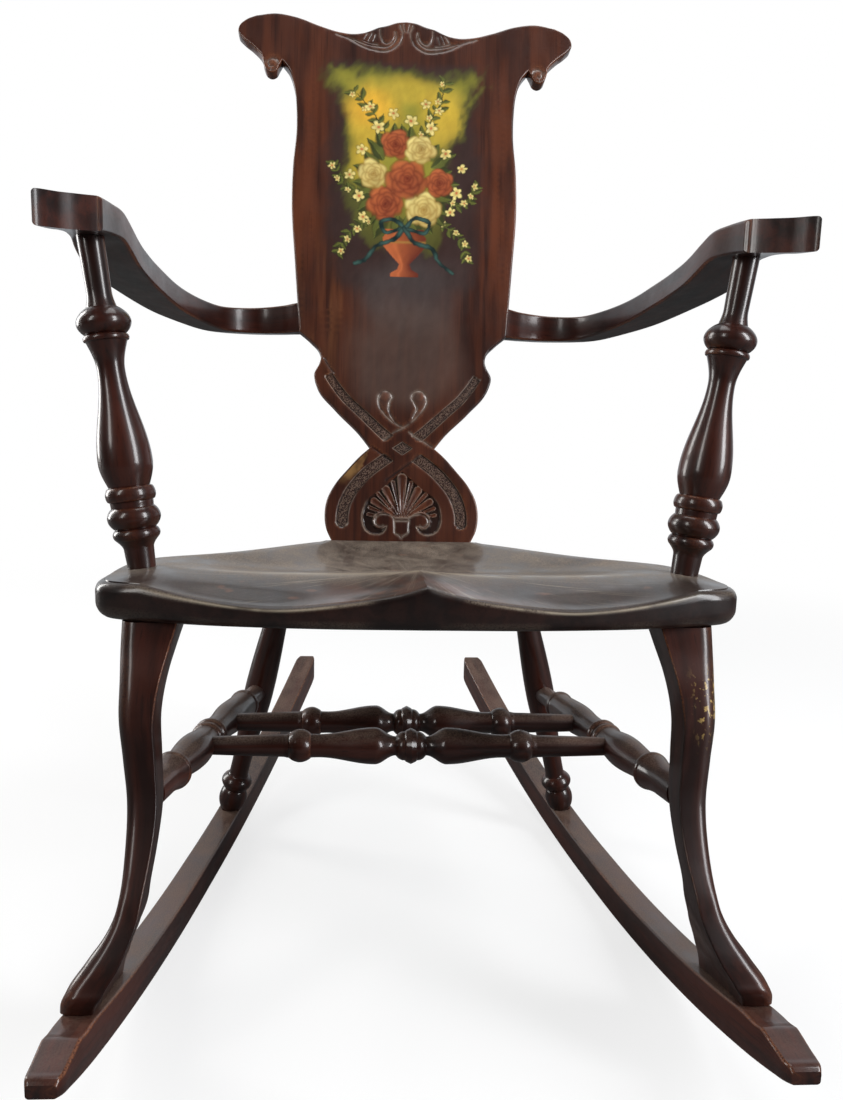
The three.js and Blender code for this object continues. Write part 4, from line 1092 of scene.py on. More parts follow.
# %% Lines of the carving
STRAP = through([(-95.2, 210.9), (-85.1, 196.1), (-72.5, 180.6), (-56.3, 165.7), (-40.1, 150.7),
                 (-23.4, 135.4), (-0.5, 118.3), (13.5, 109.2), (28.2, 99.0), (41.8, 88.4),
                 (55.0, 74.6), (65.5, 60.2), (72.0, 46.0), (74.8, 33.0), (75.2, 23.5)], 90)
STRAP_HALF = ([0.0, 60.0, 125.0, 190.0, 265.0], [5.4, 5.9, 7.0, 7.6, 7.4])
RAIL_WIDTH, BAND_DEPTH = 12.5, 1.7
SHELL_EDGE = [(0, 88.7), (12.5, 78), (20, 71), (26.6, 65), (34, 60.5), (40.8, 55.6), (45.5, 49),
              (48.4, 41.4), (50, 34), (50.2, 26.2), (48.6, 19), (45.6, 12.8), (40, 8.8), (33.6, 7.3),
              (28, 7.8), (23.2, 10.2), (20.2, 14.0), (18.8, 18.6), (21.5, 17.6), (25.6, 15.4),
              (30.6, 16.2), (34.6, 19.8), (36.4, 25.4), (34.8, 31), (30.4, 35), (23.4, 36.6),
              (16.5, 34.8), (11.5, 31.2), (8.8, 29.4), (0, 29.4)]
SHELL_DEPTH, SHELL_FOOT = 2.9, np.array([0.0, 26.0])
LOBE_START, LOBE_FOOT_HALF, WIDEST_LOBE = 5.0, 0.9, 6.6
# Turn from upright in degrees, reach from the foot, half width at the tip
SHELL_LOBES = [(0.0, 60.5, WIDEST_LOBE), (13.4, 52.6, 2.9), (27.6, 49.5, 5.4), (42.0, 48.0, 2.9),
               (55.5, 47.6, 4.8), (68.5, 46.6, 2.6), (80.0, 45.2, 2.6)]
CUT_LINES = [
    [(39.2, 119.6), (26.5, 127.4), (13.5, 135.7), (9.0, 138.8)],
    [(1.9, 144.5), (-10.7, 150.5), (-23.3, 161.9), (-29.5, 170.5), (-31.6, 178.5), (-30.2, 186.3),
     (-23.9, 191.6), (-17.0, 189.7), (-13.9, 183.5), (-17.0, 177.6), (-18.2, 168.4), (-13.6, 156.8),
     (-7.0, 148.6)],
    [(-23.5, 128.2), (-10.9, 138.0), (3.0, 145.8), (16.0, 156.4), (25.2, 167.0), (30.2, 178.0),
     (28.8, 186.7), (21.8, 192.3), (14.0, 189.9), (11.0, 183.5), (14.1, 177.3), (17.6, 168.4),
     (13.0, 157.6)],
]
SHADED_LINES = [
    [(-38.0, 118.6), (-26.0, 110.2), (-14.0, 101.4)],
    [(20.5, 108.8), (11.5, 100.6), (1.0, 92.6), (-10.0, 84.6), (-20.0, 77.0)],
    [(-101.0, 232.0), (-96.0, 223.6), (-89.5, 213.5)],
]
PAIRED_LINES = [
    [(9.2, 27.6), (12.2, 31.2), (17.4, 33.2), (23.2, 34.0), (29.0, 32.6), (32.6, 29.0), (33.6, 24.6),
     (31.6, 20.6), (27.6, 18.4), (23.4, 19.2)],
    [(9.8, 28.6), (8.9, 19.0), (7.8, 9.6), (3.2, 7.4), (0.3, 3.4)],
    [(0, 25.6), (8.6, 25.6)],
    [(92.0, 661.6), (75.0, 656.0), (57.0, 646.4), (40.0, 641.6), (28.6, 640.6), (16.6, 645.4),
     (7.0, 655.8), (5.2, 666.6), (8.6, 674.6)],
    [(69.0, 654.6), (53.6, 649.4), (36.6, 646.6), (27.6, 646.4), (18.4, 651.2), (13.4, 659.4),
     (14.4, 667.4)],
    [(15.4, 667.6), (16.2, 659.4), (20.6, 653.6), (26.6, 651.2), (31.4, 654.4), (34.4, 662.0),
     (34.8, 671.4)],
    [(56.7, 654.1), (48.6, 651.2), (38.0, 649.4)],
    [(49.9, 665.4), (55.6, 655.6)], [(44.9, 664.5), (49.8, 653.6)], [(40.6, 662.1), (43.8, 652.4)],
    [(2.0, 668.1), (4.0, 678.6)], [(4.2, 667.0), (8.4, 677.0)],
    [(184.0, 621.5), (183.2, 613.6), (178.8, 608.6), (172.6, 608.0), (167.4, 611.8), (166.0, 617.6),
     (168.8, 622.6), (173.6, 624.4), (178.0, 621.8), (179.0, 617.4), (176.4, 613.8), (172.8, 614.8)],
]
CUT_DEPTH, CUT_WIDTH, FAR_OFF = 0.9, 1.0, 99.0
CURL_EYES, EYE_RADIUS, EYE_RISE = [(-23.2, 184.0), (21.4, 184.4)], 5.6, 0.8
POINTS_PER_KNOT = 5


def strap_edges():
    """Both sides of the band: the middle line moved by its half width along its normal."""
    step = np.gradient(STRAP, axis=0)
    step /= np.linalg.norm(step, axis=1)[:, None]
    run = np.concatenate([[0], np.cumsum(np.linalg.norm(np.diff(STRAP, axis=0), axis=1))])
    half = np.interp(run, *STRAP_HALF)[:, None]
    side = step[:, ::-1] * [1, -1]
    return STRAP + side * half, STRAP - side * half


cut_lines = [through(line, POINTS_PER_KNOT * len(line)) for line in SHADED_LINES + CUT_LINES]
for line in PAIRED_LINES:
    smooth_line = through(line, POINTS_PER_KNOT * len(line))
    cut_lines += [smooth_line, smooth_line * [-1, 1]]
shell_edge = np.array(SHELL_EDGE)
shell_rim = np.vstack([shell_edge, shell_edge[::-1][1:-1] * [-1, 1]])
print(len(cut_lines), "cut lines and", 2 * len(SHELL_LOBES) - 1, "shell lobes")

# %% [markdown]
# A chisel leaves three kinds of mark here. The bands are sunk to an even floor. The shell is a hollow
# with rounded lobes standing in it, each narrow at its foot and lit along both of its rims. A cut line is
# a groove. Each function below takes any points of the board and says how strongly its mark is there. A
# displacement picture could hold the same depths, but only as finely as its pixels.

# %% Depth of the carving
def band_mask(flat):
    """1 on the punched floors: within a band's edge, past its start, not under the other strap's rails."""
    straps = []
    first_step = (STRAP[1] - STRAP[0]) / np.linalg.norm(STRAP[1] - STRAP[0])
    for side in (1, -1):
        across = flat * [side, 1]
        gap, run = nearest(across, STRAP)
        straps.append((gap - np.interp(run, *STRAP_HALF), (across - STRAP[0]) @ first_step))
    band = np.zeros(len(flat))
    for (edge, begin), (other, _) in (straps, straps[::-1]):
        rail = ease(other, -0.5, 0.5) * (1 - ease(other, RAIL_WIDTH, RAIL_WIDTH + 1.0))
        band = np.maximum(band, (1 - ease(edge, -0.8, 0.4)) * ease(begin, -0.4, 0.6) * (1 - rail))
    return band


def shell_masks(flat):
    """The sunk floor of the shell, its lobes, their bright rims and the low rim of the shell itself."""
    folded = flat * [0, 1] + np.abs(flat) * [1, 0]
    in_shell = inside(flat, shell_rim)
    rim_gap = nearest(flat, np.vstack([shell_rim, shell_rim[:1]]))[0]
    lobes, rims = np.zeros(len(flat)), np.zeros(len(flat))
    for turn, reach, high in SHELL_LOBES:
        way = np.array([math.sin(math.radians(turn)), math.cos(math.radians(turn))])
        foot, tip = SHELL_FOOT + way * LOBE_START, SHELL_FOOT + way * (reach - high)
        gap, run = nearest(folded, [foot, tip])
        wide = LOBE_FOOT_HALF + (high - LOBE_FOOT_HALF) * (run / np.linalg.norm(tip - foot)) ** 0.8
        flute = (0.66 + 0.34 * ease(gap / wide, 0.1, 0.85)) * (1 - ease(gap / wide, 0.86, 1.08))
        rims = np.where(flute > lobes, np.exp(-((gap / wide - 0.88) / 0.13) ** 2), rims * (gap > wide))
        lobes = np.maximum(lobes, flute * (0.70 + 0.30 * high / WIDEST_LOBE))
    floor = np.where(in_shell, ease(rim_gap, -0.2, 1.6), 0.0)
    low_rim = np.exp(-(rim_gap / 0.8) ** 2) * (1 - ease(flat[:, 1], 34, 60))
    return floor, lobes, lobes * in_shell, rims * in_shell, low_rim


def cut_masks(flat):
    """Shaded cuts, cuts with a painted highlight, and the domed eyes of the curls. A cut is exp(-(gap /
    width)^2).
    """
    cut = np.full((2, len(flat)), FAR_OFF)
    for index, line in enumerate(cut_lines):
        box = (flat > line.min(0) - 4).all(1) & (flat < line.max(0) + 4).all(1)
        kind = int(index >= len(SHADED_LINES))
        cut[kind, box] = np.minimum(cut[kind, box], nearest(flat[box], line)[0])
    away = np.min([np.hypot(*(flat - place).T) for place in CURL_EYES], axis=0)
    return *np.exp(-(cut / CUT_WIDTH) ** 2), np.sqrt(np.clip(1 - (away / EYE_RADIUS) ** 2, 0, 1))


def relief(flat):
    """Height over the board's face, and masks: punched bands, painted shade and dirt in hollows, shell
    lobes, painted highlights.
    """
    band = band_mask(flat)
    floor, lobes, lobes_inside, rims, low_rim = shell_masks(flat)
    shaded, groove, eyes = cut_masks(flat)
    height = -BAND_DEPTH * band - floor * SHELL_DEPTH * (1 - 0.95 * lobes)
    height = height - np.maximum(shaded, groove) * CUT_DEPTH * (1 - eyes) + eyes * EYE_RISE
    groove = groove * (0.62 - 0.27 * ease(flat[:, 1], 400, 600))
    # Painted highlight, partly a pale rub: the edges of the bands, the lobe rims, the shell's low rim and
    # the pale cuts
    rub_and_highlight = np.maximum.reduce([3.2 * band * (1 - band), 0.8 * rims, 0.75 * low_rim, groove])
    # Painted shade with some dirt: the shell's floor between the lobes, and the shaded cuts
    shade_and_dirt = np.maximum(floor * (1 - lobes), shaded)
    return height, band, shade_and_dirt, np.maximum(lobes_inside, eyes), rub_and_highlight


# %% [markdown]
# The front is triangulated from scattered points: a honeycomb that is fine where there is carving or
# painting and coarse elsewhere, plus rows of points along each carved line, so that the edges of the cuts
# stay clean. An even grid as fine as that would need several times as many faces.

# %% Points over the board
# Low corner, high corner, step
FINE_ZONES = [((-54, 2), (54, 92), 0.95), ((-112, 298), (112, 640), 1.34), ((-100, 640), (100, 690), 2.0),
              ((-128, -2), (128, 262), 2.2)]
COARSE_ZONE = ((-225, -34), (225, 692), 5.0)
LINE_STEP, LINE_SPREAD, LINE_CELL, NEAR_CELL, RIM_CLEAR = 1.3, 0.9, 0.5, 1.0, 1.1
NEAR_MOVES = (-0.9, 0, 0.9)
ROW_SHARE = 0.866  # the height of a triangle with sides of one
CELLS_IN_ROW = 4096  # more than the board is cells high, so that no two cells share a number


def honeycomb(low, high, step):
    """Rows of points where every other row is moved by half a step."""
    across, up = np.arange(low[0], high[0], step), np.arange(low[1], high[1], step * ROW_SHARE)
    grid = np.stack(np.meshgrid(across, up), -1)
    grid[1::2, :, 0] += step / 2
    return grid.reshape(-1, 2)


def beside(line):
    """Points along a line and a little to either side of it."""
    long = np.linalg.norm(np.diff(line, axis=0), axis=1).sum()
    line = through(line, max(3, round(long / LINE_STEP)))
    step = np.gradient(line, axis=0)
    side = step[:, ::-1] * [1, -1] / np.linalg.norm(step, axis=1)[:, None]
    return np.vstack([line, line + side * LINE_SPREAD, line - side * LINE_SPREAD])


def box_keys(points, size):
    """One whole number for the square cell that each point falls in."""
    cell = np.floor(points / size).astype(int)
    return cell[:, 0] * CELLS_IN_ROW + cell[:, 1]


def board_points(rim):
    """Every point inside the rim, with room left beside the rim and beside the carved lines."""
    edges = [line for edge in strap_edges() for line in (edge, edge * [-1, 1])]
    rows = np.vstack([beside(line) for line in cut_lines + edges + [shell_edge, shell_edge * [-1, 1]]])
    rows = rows[np.unique(box_keys(rows, LINE_CELL), return_index=True)[1]]
    taken, free = [], []
    for low, high, step in FINE_ZONES + [COARSE_ZONE]:
        points = honeycomb(low, high, step)
        for other_low, other_high in taken:
            points = points[~((points > other_low).all(1) & (points < other_high).all(1))]
        taken.append((low, high))
        free.append(points)
    free = np.vstack(free)
    cells = np.unique(box_keys(rows, NEAR_CELL))
    near = np.zeros(len(free), dtype=bool)
    for move in [(i, j) for i in NEAR_MOVES for j in NEAR_MOVES]:
        near |= np.isin(box_keys(free + np.array(move), NEAR_CELL), cells)
    points = np.vstack([rows, free[~near]])
    points = points[inside(points, rim)]
    clear = [((part[:, None] - rim) ** 2).sum(-1).min(1) > RIM_CLEAR ** 2 for part in parts_of(points)]
    return points[np.concatenate(clear)]


# %% [markdown]
# Blender's own library can triangulate points inside a closed line so that no triangle is needlessly
# thin. The rim of the front is that line. It lies a little inside the outline, because the edge of the
# board is rounded.

# %% Front of the splat
RIM_STEPS, OUTLINE_STEP = 5, 2.2
INSIDE_ONLY, WELD = 1, 1e-5


def triangulate(rim, loose):
    """Triangles between a closed rim and the loose points in it. The rim's points come back by number."""
    count = len(rim)
    sides = [(i, (i + 1) % count) for i in range(count)]
    corners = [Vector(p) for p in np.vstack([rim, loose]).tolist()]
    points, _, faces, sources, _, _ = delaunay_2d_cdt(corners, sides, [], INSIDE_ONLY, WELD)
    places = np.array([p[:] for p in points])
    number = np.full(count, -1)
    for index, source in enumerate(sources):
        for one in source:
            if one < count:
                number[one] = index
    return places, np.array(faces), number


outline = splat_outline(OUTLINE_STEP)
push = outward(outline)
turn = np.linspace(0, np.pi / 2, RIM_STEPS)
front_rim = outline - push * SPLAT_SOFT
flat, faces, rim_ids = triangulate(front_rim, board_points(front_rim))
height, band, shade_and_dirt, lobes, rub_and_highlight = relief(flat)
print(f"front: {len(flat)} points, {len(faces)} triangles, carved {-height.min():.1f} mm deep")

# %% [markdown]
# The upper front is painted with a flower piece: an urn of roses with a ribbon, on a smoky ground that
# glows in the middle. It could be a picture, but a picture has to come from somewhere. Here each flower,
# leaf and fold is a small formula in the board's own directions, laid over the colours before it like
# strokes of paint, and the points of the front carry the result.

# %% Paints and clouds
SMOKE, HAZE, WAIST_HAZE = np.array([[0.036, 0.019, 0.017], [0.066, 0.052, 0.050], [0.100, 0.064, 0.052]])
MOSS, OLIVE = np.array([0.085, 0.085, 0.020]), np.array([0.290, 0.265, 0.034])
GLOW, SUN = np.array([0.60, 0.40, 0.045]), np.array([0.80, 0.42, 0.040])
CORAL, CORAL_DEEP = np.array([0.52, 0.135, 0.045]), np.array([0.150, 0.026, 0.012])
CREAM, CREAM_DEEP = np.array([0.80, 0.67, 0.24]), np.array([0.37, 0.22, 0.050])
LEAF, LEAF_DEEP = np.array([0.135, 0.150, 0.030]), np.array([0.020, 0.028, 0.010])
TEAL, TEAL_DEEP = np.array([0.050, 0.115, 0.095]), np.array([0.006, 0.018, 0.018])
LATTICE_SIZE = 64
LATTICE = np.random.default_rng(7).random((LATTICE_SIZE, LATTICE_SIZE))


def cloud(points, size, shift=0.0):
    """Value noise from 0 to 1: random heights on a lattice, blended by 3t^2 - 2t^3 between its corners."""
    place = points / size + 400.0 + shift
    cell = np.floor(place).astype(int)
    t = place - cell
    t = t * t * (3 - 2 * t)
    i, j = cell.T % LATTICE_SIZE
    i2, j2 = (i + 1) % LATTICE_SIZE, (j + 1) % LATTICE_SIZE
    low = LATTICE[i, j] * (1 - t[:, 0]) + LATTICE[i2, j] * t[:, 0]
    high = LATTICE[i, j2] * (1 - t[:, 0]) + LATTICE[i2, j2] * t[:, 0]
    return low * (1 - t[:, 1]) + high * t[:, 1]


def clouds(points, size, shift=0.0):
    """Three sizes of cloud on top of each other."""
    return sum(cloud(points, size / 2 ** k, shift + 9.7 * k) / 2 ** k for k in range(3)) / 1.75


def blend(dark, light, tone):
    """From one colour to the other by a tone from 0 to 1, for each point."""
    return dark + (light - dark) * np.clip(tone, 0, 1)[:, None]


# %% [markdown]
# A painter lays one colour over another, and each brush mark hides part of what is below. The class keeps
# a colour and a cover for every point and knows five marks: a plain one, a rose, a blossom, a leaf and a
# stroke. The places it works with wander a little, so that no edge is as true as a ruler's.

# %% Brush marks
PETAL_RINGS = ((1.0, 5, 0.0), (0.76, 5, 0.65), (0.54, 4, 0.2), (0.33, 3, 1.1), (0.15, 2, 0.4))
WANDER, WANDER_SIZE = 6.0, 13.0
STROKE_POINTS, FOLD_TURNS = 40, 21.0


class Painting:
    """Colours and how much of the wood they hide, for points of the board."""

    def __init__(self, points):
        wander = np.column_stack([clouds(points, WANDER_SIZE, shift) for shift in (2.0, 21.0)]) - 0.5
        self.points = points + wander * WANDER
        self.color = np.zeros((len(points), 3))
        self.cover = np.zeros(len(points))

    def lay(self, color, share):
        """Puts a colour over what is there: old (1 - share) + new share."""
        share = np.clip(share, 0, 1)
        whole = self.cover + share - self.cover * share
        part = np.where(whole > 1e-6, share / np.maximum(whole, 1e-6), 0.0)[:, None]
        self.color = self.color * (1 - part) + np.asarray(color) * part
        self.cover = whole

    def around(self, place, radius):
        """Distance from a place in radii, the angle there, and the step to each point."""
        away = (self.points - place) / radius
        return np.hypot(*away.T), np.arctan2(away[:, 1], away[:, 0]), away

    def rose(self, place, radius, dark, light, turn):
        """Rings of petals, each r < reach (0.8 + 0.2 lobe), darker towards the ring inside it."""
        r, angle, away = self.around(place, radius)
        for reach, petals, shift in PETAL_RINGS:
            lobe = np.abs(np.cos(petals / 2 * (angle + turn + shift)))
            edge = reach * (0.80 + 0.20 * lobe ** 0.6)
            tone = ease(r / edge, 0.35, 1.0) * (0.30 + 0.60 * lobe ** 0.7) + away @ [-0.16, 0.26]
            self.lay(dark, 0.60 * (1 - ease(r, edge - 0.02, edge + 0.11)))
            self.lay(blend(dark, light, tone), 0.92 * (1 - ease(r, edge - 0.15, edge + 0.05)))

    def blossom(self, place, radius, turn):
        """Five pale petals round a warm eye."""
        r, angle, _ = self.around(place, radius)
        edge = 0.45 + 0.55 * np.abs(np.cos(2.5 * (angle + turn)))
        self.lay(LEAF_DEEP, 0.45 * (1 - ease(r, edge, edge + 0.30)))
        self.lay(blend(CREAM_DEEP, CREAM, r * 1.5), 1 - ease(r, edge - 0.15, edge + 0.05))
        self.lay(CORAL, 1 - ease(r, 0.14, 0.26))

    def leaf(self, base, tip, half):
        """Half width w sin(pi s^0.8) along the leaf, one side of its rib lighter than the other."""
        step = np.subtract(tip, base)
        long = np.linalg.norm(step)
        away = self.points - base
        s = np.clip(away @ step / long ** 2, 0, 1)
        side = (away[:, 0] * step[1] - away[:, 1] * step[0]) / long
        wide = half * np.sin(np.pi * s ** 0.8) + 1e-3
        on_leaf = (s > 0) * (s < 1)
        tone = np.where(side > 0, 0.85, 0.35) - 0.3 * s + 0.5 * (1 - ease(np.abs(side), 0.2, 0.9))
        self.lay(LEAF_DEEP, 0.6 * (1 - ease(np.abs(side) / wide, 1.0, 1.5)) * on_leaf)
        self.lay(blend(LEAF_DEEP, LEAF, tone), (1 - ease(np.abs(side) / wide, 0.75, 1.05)) * on_leaf)

    def stroke(self, line, start_half, end_half, dark, light):
        """A tapering stroke along a smooth line, lighter in its middle and in folds along its length."""
        line = through(line, STROKE_POINTS)
        gap, run = nearest(self.points, line)
        share = run / run.max()
        half = start_half + (end_half - start_half) * share
        tone = 0.5 + 0.5 * np.sin(share * FOLD_TURNS)
        self.lay(blend(dark, light, tone * (1 - gap / half)), 1 - ease(gap / half, 0.7, 1.1))


# %% [markdown]
# A painter would sketch the composition first, and so does this lesson: a few tables say what stands
# where, in millimetres across and up the board. To move a rose, only its row has to change.

# %% Plan of the flower piece
# Across, up, radius, colour and turn
ROSES = [(-25, 438, 25, "coral", 0.3), (24, 430, 24, "cream", 1.2), (44, 466, 19, "coral", 2.0),
         (-42, 476, 20, "cream", 0.8), (2, 470, 28, "coral", 1.7), (-12, 516, 20, "coral", 2.4),
         (20, 510, 20, "cream", 0.1)]
BLOSSOMS = [(-60, 446, 8.5), (-58, 506, 8), (-36, 538, 9), (-16, 556, 7.5), (8, 548, 8.5), (34, 540, 9),
            (52, 504, 8.5), (66, 452, 8.5), (60, 428, 7), (-54, 418, 8), (-72, 474, 7), (26, 572, 7),
            (-46, 566, 6.5), (74, 486, 6.5), (44, 562, 6)]
SPRAYS = [[(-10, 500), (-32, 540), (-52, 570), (-66, 584)], [(14, 506), (32, 546), (46, 574), (52, 598)],
          [(-40, 452), (-66, 452), (-84, 466), (-92, 486)], [(48, 446), (70, 436), (84, 444), (94, 462)],
          [(-30, 424), (-56, 410), (-74, 392), (-84, 372)], [(34, 418), (58, 402), (74, 386), (80, 366)]]
RIBBONS = [[(0, 404), (-14, 416), (-30, 412), (-26, 400), (0, 404)],
           [(0, 404), (14, 418), (32, 412), (26, 400), (0, 404)],
           [(0, 404), (-16, 388), (-38, 380), (-50, 362), (-66, 356)],
           [(0, 404), (12, 386), (34, 380), (48, 356), (64, 346)]]
# Heights of the urn and its half width at each
URN = ([340, 345, 350, 357, 366, 380, 392, 399, 403], [18, 18, 9, 6.5, 15, 27, 28, 22, 26])
# Heights and half widths of the smoky ground, and of its lit middle to the left and to the right
SMOKE_HALF = ([296, 330, 400, 470, 560, 612, 640], [60, 92, 104, 106, 98, 104, 90])
LIT_LEVELS = [362, 392, 450, 510, 560, 596, 636]
LIT_LEFT, LIT_RIGHT = [34, 60, 80, 76, 80, 100, 98], [36, 48, 58, 66, 80, 98, 94]
# Across, up, half width, half height, strength
GLOWS = [(-44, 560, 46, 46, 1.0), (46, 552, 36, 50, 0.85), (-50, 506, 28, 48, 0.8), (4, 588, 70, 26, 0.55)]

# %% [markdown]
# The ground comes first, from dark to light: smoke with a ragged edge, haze below it and at the waist,
# then moss, olive and a yellow glow, each inside the one before it. Clouds of three sizes break up every
# edge.

# %% Ground of the flower piece
art = Painting(flat)
x, v = flat.T
haze = clouds(flat, 46.0)
fine_haze = clouds(flat * [1.0, 0.35], 7.0, 3.0)
brushed = clouds(flat @ [[0.8, 0.25], [-0.6, 0.33]], 6.0, 8.0)
ragged = 0.34 * (haze - 0.5) + 0.14 * (fine_haze - 0.5) + 0.22 * (brushed - 0.5)
smoke_edge = np.maximum(np.abs(x + 1) / np.interp(v, *SMOKE_HALF), 1 + (v - 628) / 60) + ragged * 0.5
smoke_edge = np.maximum(smoke_edge, 1 - (v - 318) / 90)
art.lay(SMOKE, 0.95 * (1 - ease(smoke_edge, 0.80, 1.08)))
low_ring = np.hypot((x - 4) / 78, (v - 318) / 62) + 0.4 * (haze - 0.5)
art.lay(HAZE, 0.75 * (1 - ease(low_ring, 0.4, 1.15)))
waist_ring = np.hypot((x - 2) / 92, (v - 232) / 88) + 0.3 * (haze - 0.5)
art.lay(WAIST_HAZE, 0.62 * (1 - ease(waist_ring, 0.55, 1.1)) * ease(v, 150, 190))
lit_half = np.where(x < 0, np.interp(v, LIT_LEVELS, LIT_LEFT), np.interp(v, LIT_LEVELS, LIT_RIGHT))
lit = np.abs(x) / lit_half + ragged
lit = np.maximum(lit, 1 + np.maximum(v - 618, 372 - v) / 70 + ragged)
art.lay(MOSS, 0.96 * (1 - ease(lit, 0.84, 1.10)))
patch = clouds(flat, 34.0, 5.0)
art.lay(OLIVE, 0.93 * (1 - ease(lit + 0.30 * (patch - 0.5), 0.62, 0.98)) * ease(v, 380, 470))
for middle_x, middle_v, wide, tall, strength in GLOWS:
    spot = np.hypot((x - middle_x) / wide, (v - middle_v) / tall) + 0.5 * (patch - 0.5)
    art.lay(GLOW, strength * (1 - ease(spot, 0.30, 1.10)) * (1 - ease(lit, 0.80, 1.0)))
spot = np.hypot((x + 46) / 40, (v - 566) / 32) + 0.5 * (patch - 0.5)
art.lay(SUN, 0.75 * (1 - ease(spot, 0.20, 1.05)))

# %% [markdown]
# The flowers come next, from back to front: sprays with leaves on alternate sides, a ring of large
# leaves, the urn, the small blossoms, the roses and the ribbon. A dark outline under each petal and each
# leaf keeps it clear of what lies below.

# %% Flowers, urn and ribbon
LEAVES_MIDDLE, LEAF_FROM, LEAF_TO, LEAF_HALF = np.array([0.0, 464.0]), 38, 66, 7.5
for line in SPRAYS:
    art.stroke(line, 1.4, 0.7, LEAF_DEEP, LEAF)
    path = through(line, 9)
    for index in range(2, 9):
        way = path[index] - path[index - 1]
        side = np.array([way[1], -way[0]]) * (1 if index % 2 else -1)
        art.leaf(path[index], path[index] + way * 0.9 + side * 0.9, 3.2)
        art.leaf(path[index], path[index] + way * 0.5 - side * 0.8, 2.2)
        if index % 2 == 0:
            art.blossom(path[index] + side * 0.35, 4.6, float(index))
chance = np.random.default_rng(11)
for angle in np.linspace(0, 2 * np.pi, 25)[:-1]:
    way = np.array([math.cos(angle + 0.1 * chance.standard_normal()), 1.15 * math.sin(angle)])
    base, tip = LEAVES_MIDDLE + way * LEAF_FROM, LEAVES_MIDDLE + way * (LEAF_TO + 9 * chance.random())
    art.leaf(base, tip, LEAF_HALF)
half = np.interp(v, *URN)
urn_share = (1 - ease(np.abs(x) - half, -0.8, 0.8)) * (v > URN[0][0]) * (v < URN[0][-1])
round_tone = x / np.maximum(half, 1)
tone = 0.42 - 0.50 * round_tone + 0.35 * np.exp(-((round_tone + 0.42) / 0.14) ** 2)
art.lay(blend(CORAL_DEEP, CORAL, tone), urn_share * 0.94)
art.lay(CREAM_DEEP, 0.7 * urn_share * np.exp(-((v - 386) / 1.5) ** 2))
for across, up, radius in BLOSSOMS:
    art.blossom((across, up), radius, across * 0.37)
for across, up, radius, kind, angle in ROSES:
    dark, light = (CORAL_DEEP, CORAL) if kind == "coral" else (CREAM_DEEP, CREAM)
    art.rose((across, up), radius, dark, light, angle)
for line in RIBBONS:
    art.stroke(line, 3.6, 2.4, TEAL_DEEP, TEAL)
art.color *= (0.66 + 0.30 * fine_haze + 0.16 * patch + 0.24 * brushed)[:, None]
print(f"painted: {100 * (art.cover > 0.5).mean():.0f}% of the front's points")

# %% [markdown]
# The bare wood round the painting is rubbed too. Its margins and one low place are redder, one rail of a
# strap is worn pale, the lobes of the shell keep some red, and every high line of the carving has a thin
# painted highlight, partly a pale rub. They are laid with the same brush, because they lie on the same
# points.

# %% Rubbed places and painted highlights on the bare wood
MARGIN_RED, LOW_RED = np.array([[0.150, 0.038, 0.013], [0.190, 0.066, 0.024]])
LOBE_RED, PALE_RAIL = np.array([[0.230, 0.066, 0.026], [0.300, 0.165, 0.060]])
CARVING_HIGHLIGHT = np.array([0.400, 0.315, 0.250])
streak = clouds(flat * [1.0, 0.08], 9.0, 1.0)
margin = ease(np.abs(x + 4), 78, 122) * ease(v, 230, 330) * (1 - ease(v, 560, 650))
left_low = np.exp(-((x + 98) / 36) ** 2 - ((v - 300) / 80) ** 2)
art.lay(MARGIN_RED, 0.55 * margin * ease(streak, 0.35, 0.75) * (1 - art.cover))
art.lay(LOW_RED, 0.6 * left_low * ease(streak, 0.25, 0.7) * (1 - art.cover))
gap = nearest(flat * [-1, 1], STRAP)[0]
on_rail = ease(gap, 8.0, 9.5) * (x < -43 - 0.4 * (112 - v)) * ease(v, 68, 88) * (1 - ease(v, 112, 124))
art.lay(PALE_RAIL, 0.85 * on_rail * ease(clouds(flat, 14.0, 2.0), 0.15, 0.6))
art.lay(LOBE_RED, 0.55 * lobes * ease(streak, 0.2, 0.7))
# Painted highlight along every high line of the carving
art.lay(CARVING_HIGHLIGHT, 0.80 * rub_and_highlight * ease(clouds(flat, 9.0, 4.0), 0.15, 0.6))

# %% [markdown]
# The front alone would be a sheet. Rows of points round its rim carry the rounded front edge, the side
# and the rounded back edge, and a plain sheet of triangles closes the back. A Solidify modifier would
# copy the carving to the back as well.

# %% Sides and back of the splat
RIM_WEAR = (0.8, 1.0, 0.8, 0.4, 0.3, 0.5, 0.6, 0.5, 0.3)  # one for each row, from the front to the back
rows, outs = [], []
for angle in turn[1:]:
    rows.append(outline - push * SPLAT_SOFT * (1 - math.sin(angle)))
    outs.append(-SPLAT_SOFT * (1 - math.cos(angle)))
for angle in turn:
    rows.append(outline - push * SPLAT_SOFT * (1 - math.cos(angle)))
    outs.append(-SPLAT_THICKNESS + SPLAT_SOFT * (1 - math.sin(angle)))
count, first = len(outline), len(flat)
ids = np.vstack([rim_ids, first + np.arange(len(rows) * count).reshape(len(rows), count)])
back_flat, back_faces, back_ids = triangulate(rows[-1], np.zeros((0, 2)))
back_of = np.zeros(len(back_flat), dtype=int)
back_of[back_ids] = ids[-1]
fans = np.vstack([faces, back_of[back_faces][:, ::-1]])
all_flat = np.vstack([flat, *rows])
all_out = np.concatenate([height, np.repeat(outs, count)])
blank = np.zeros(len(rows) * count)
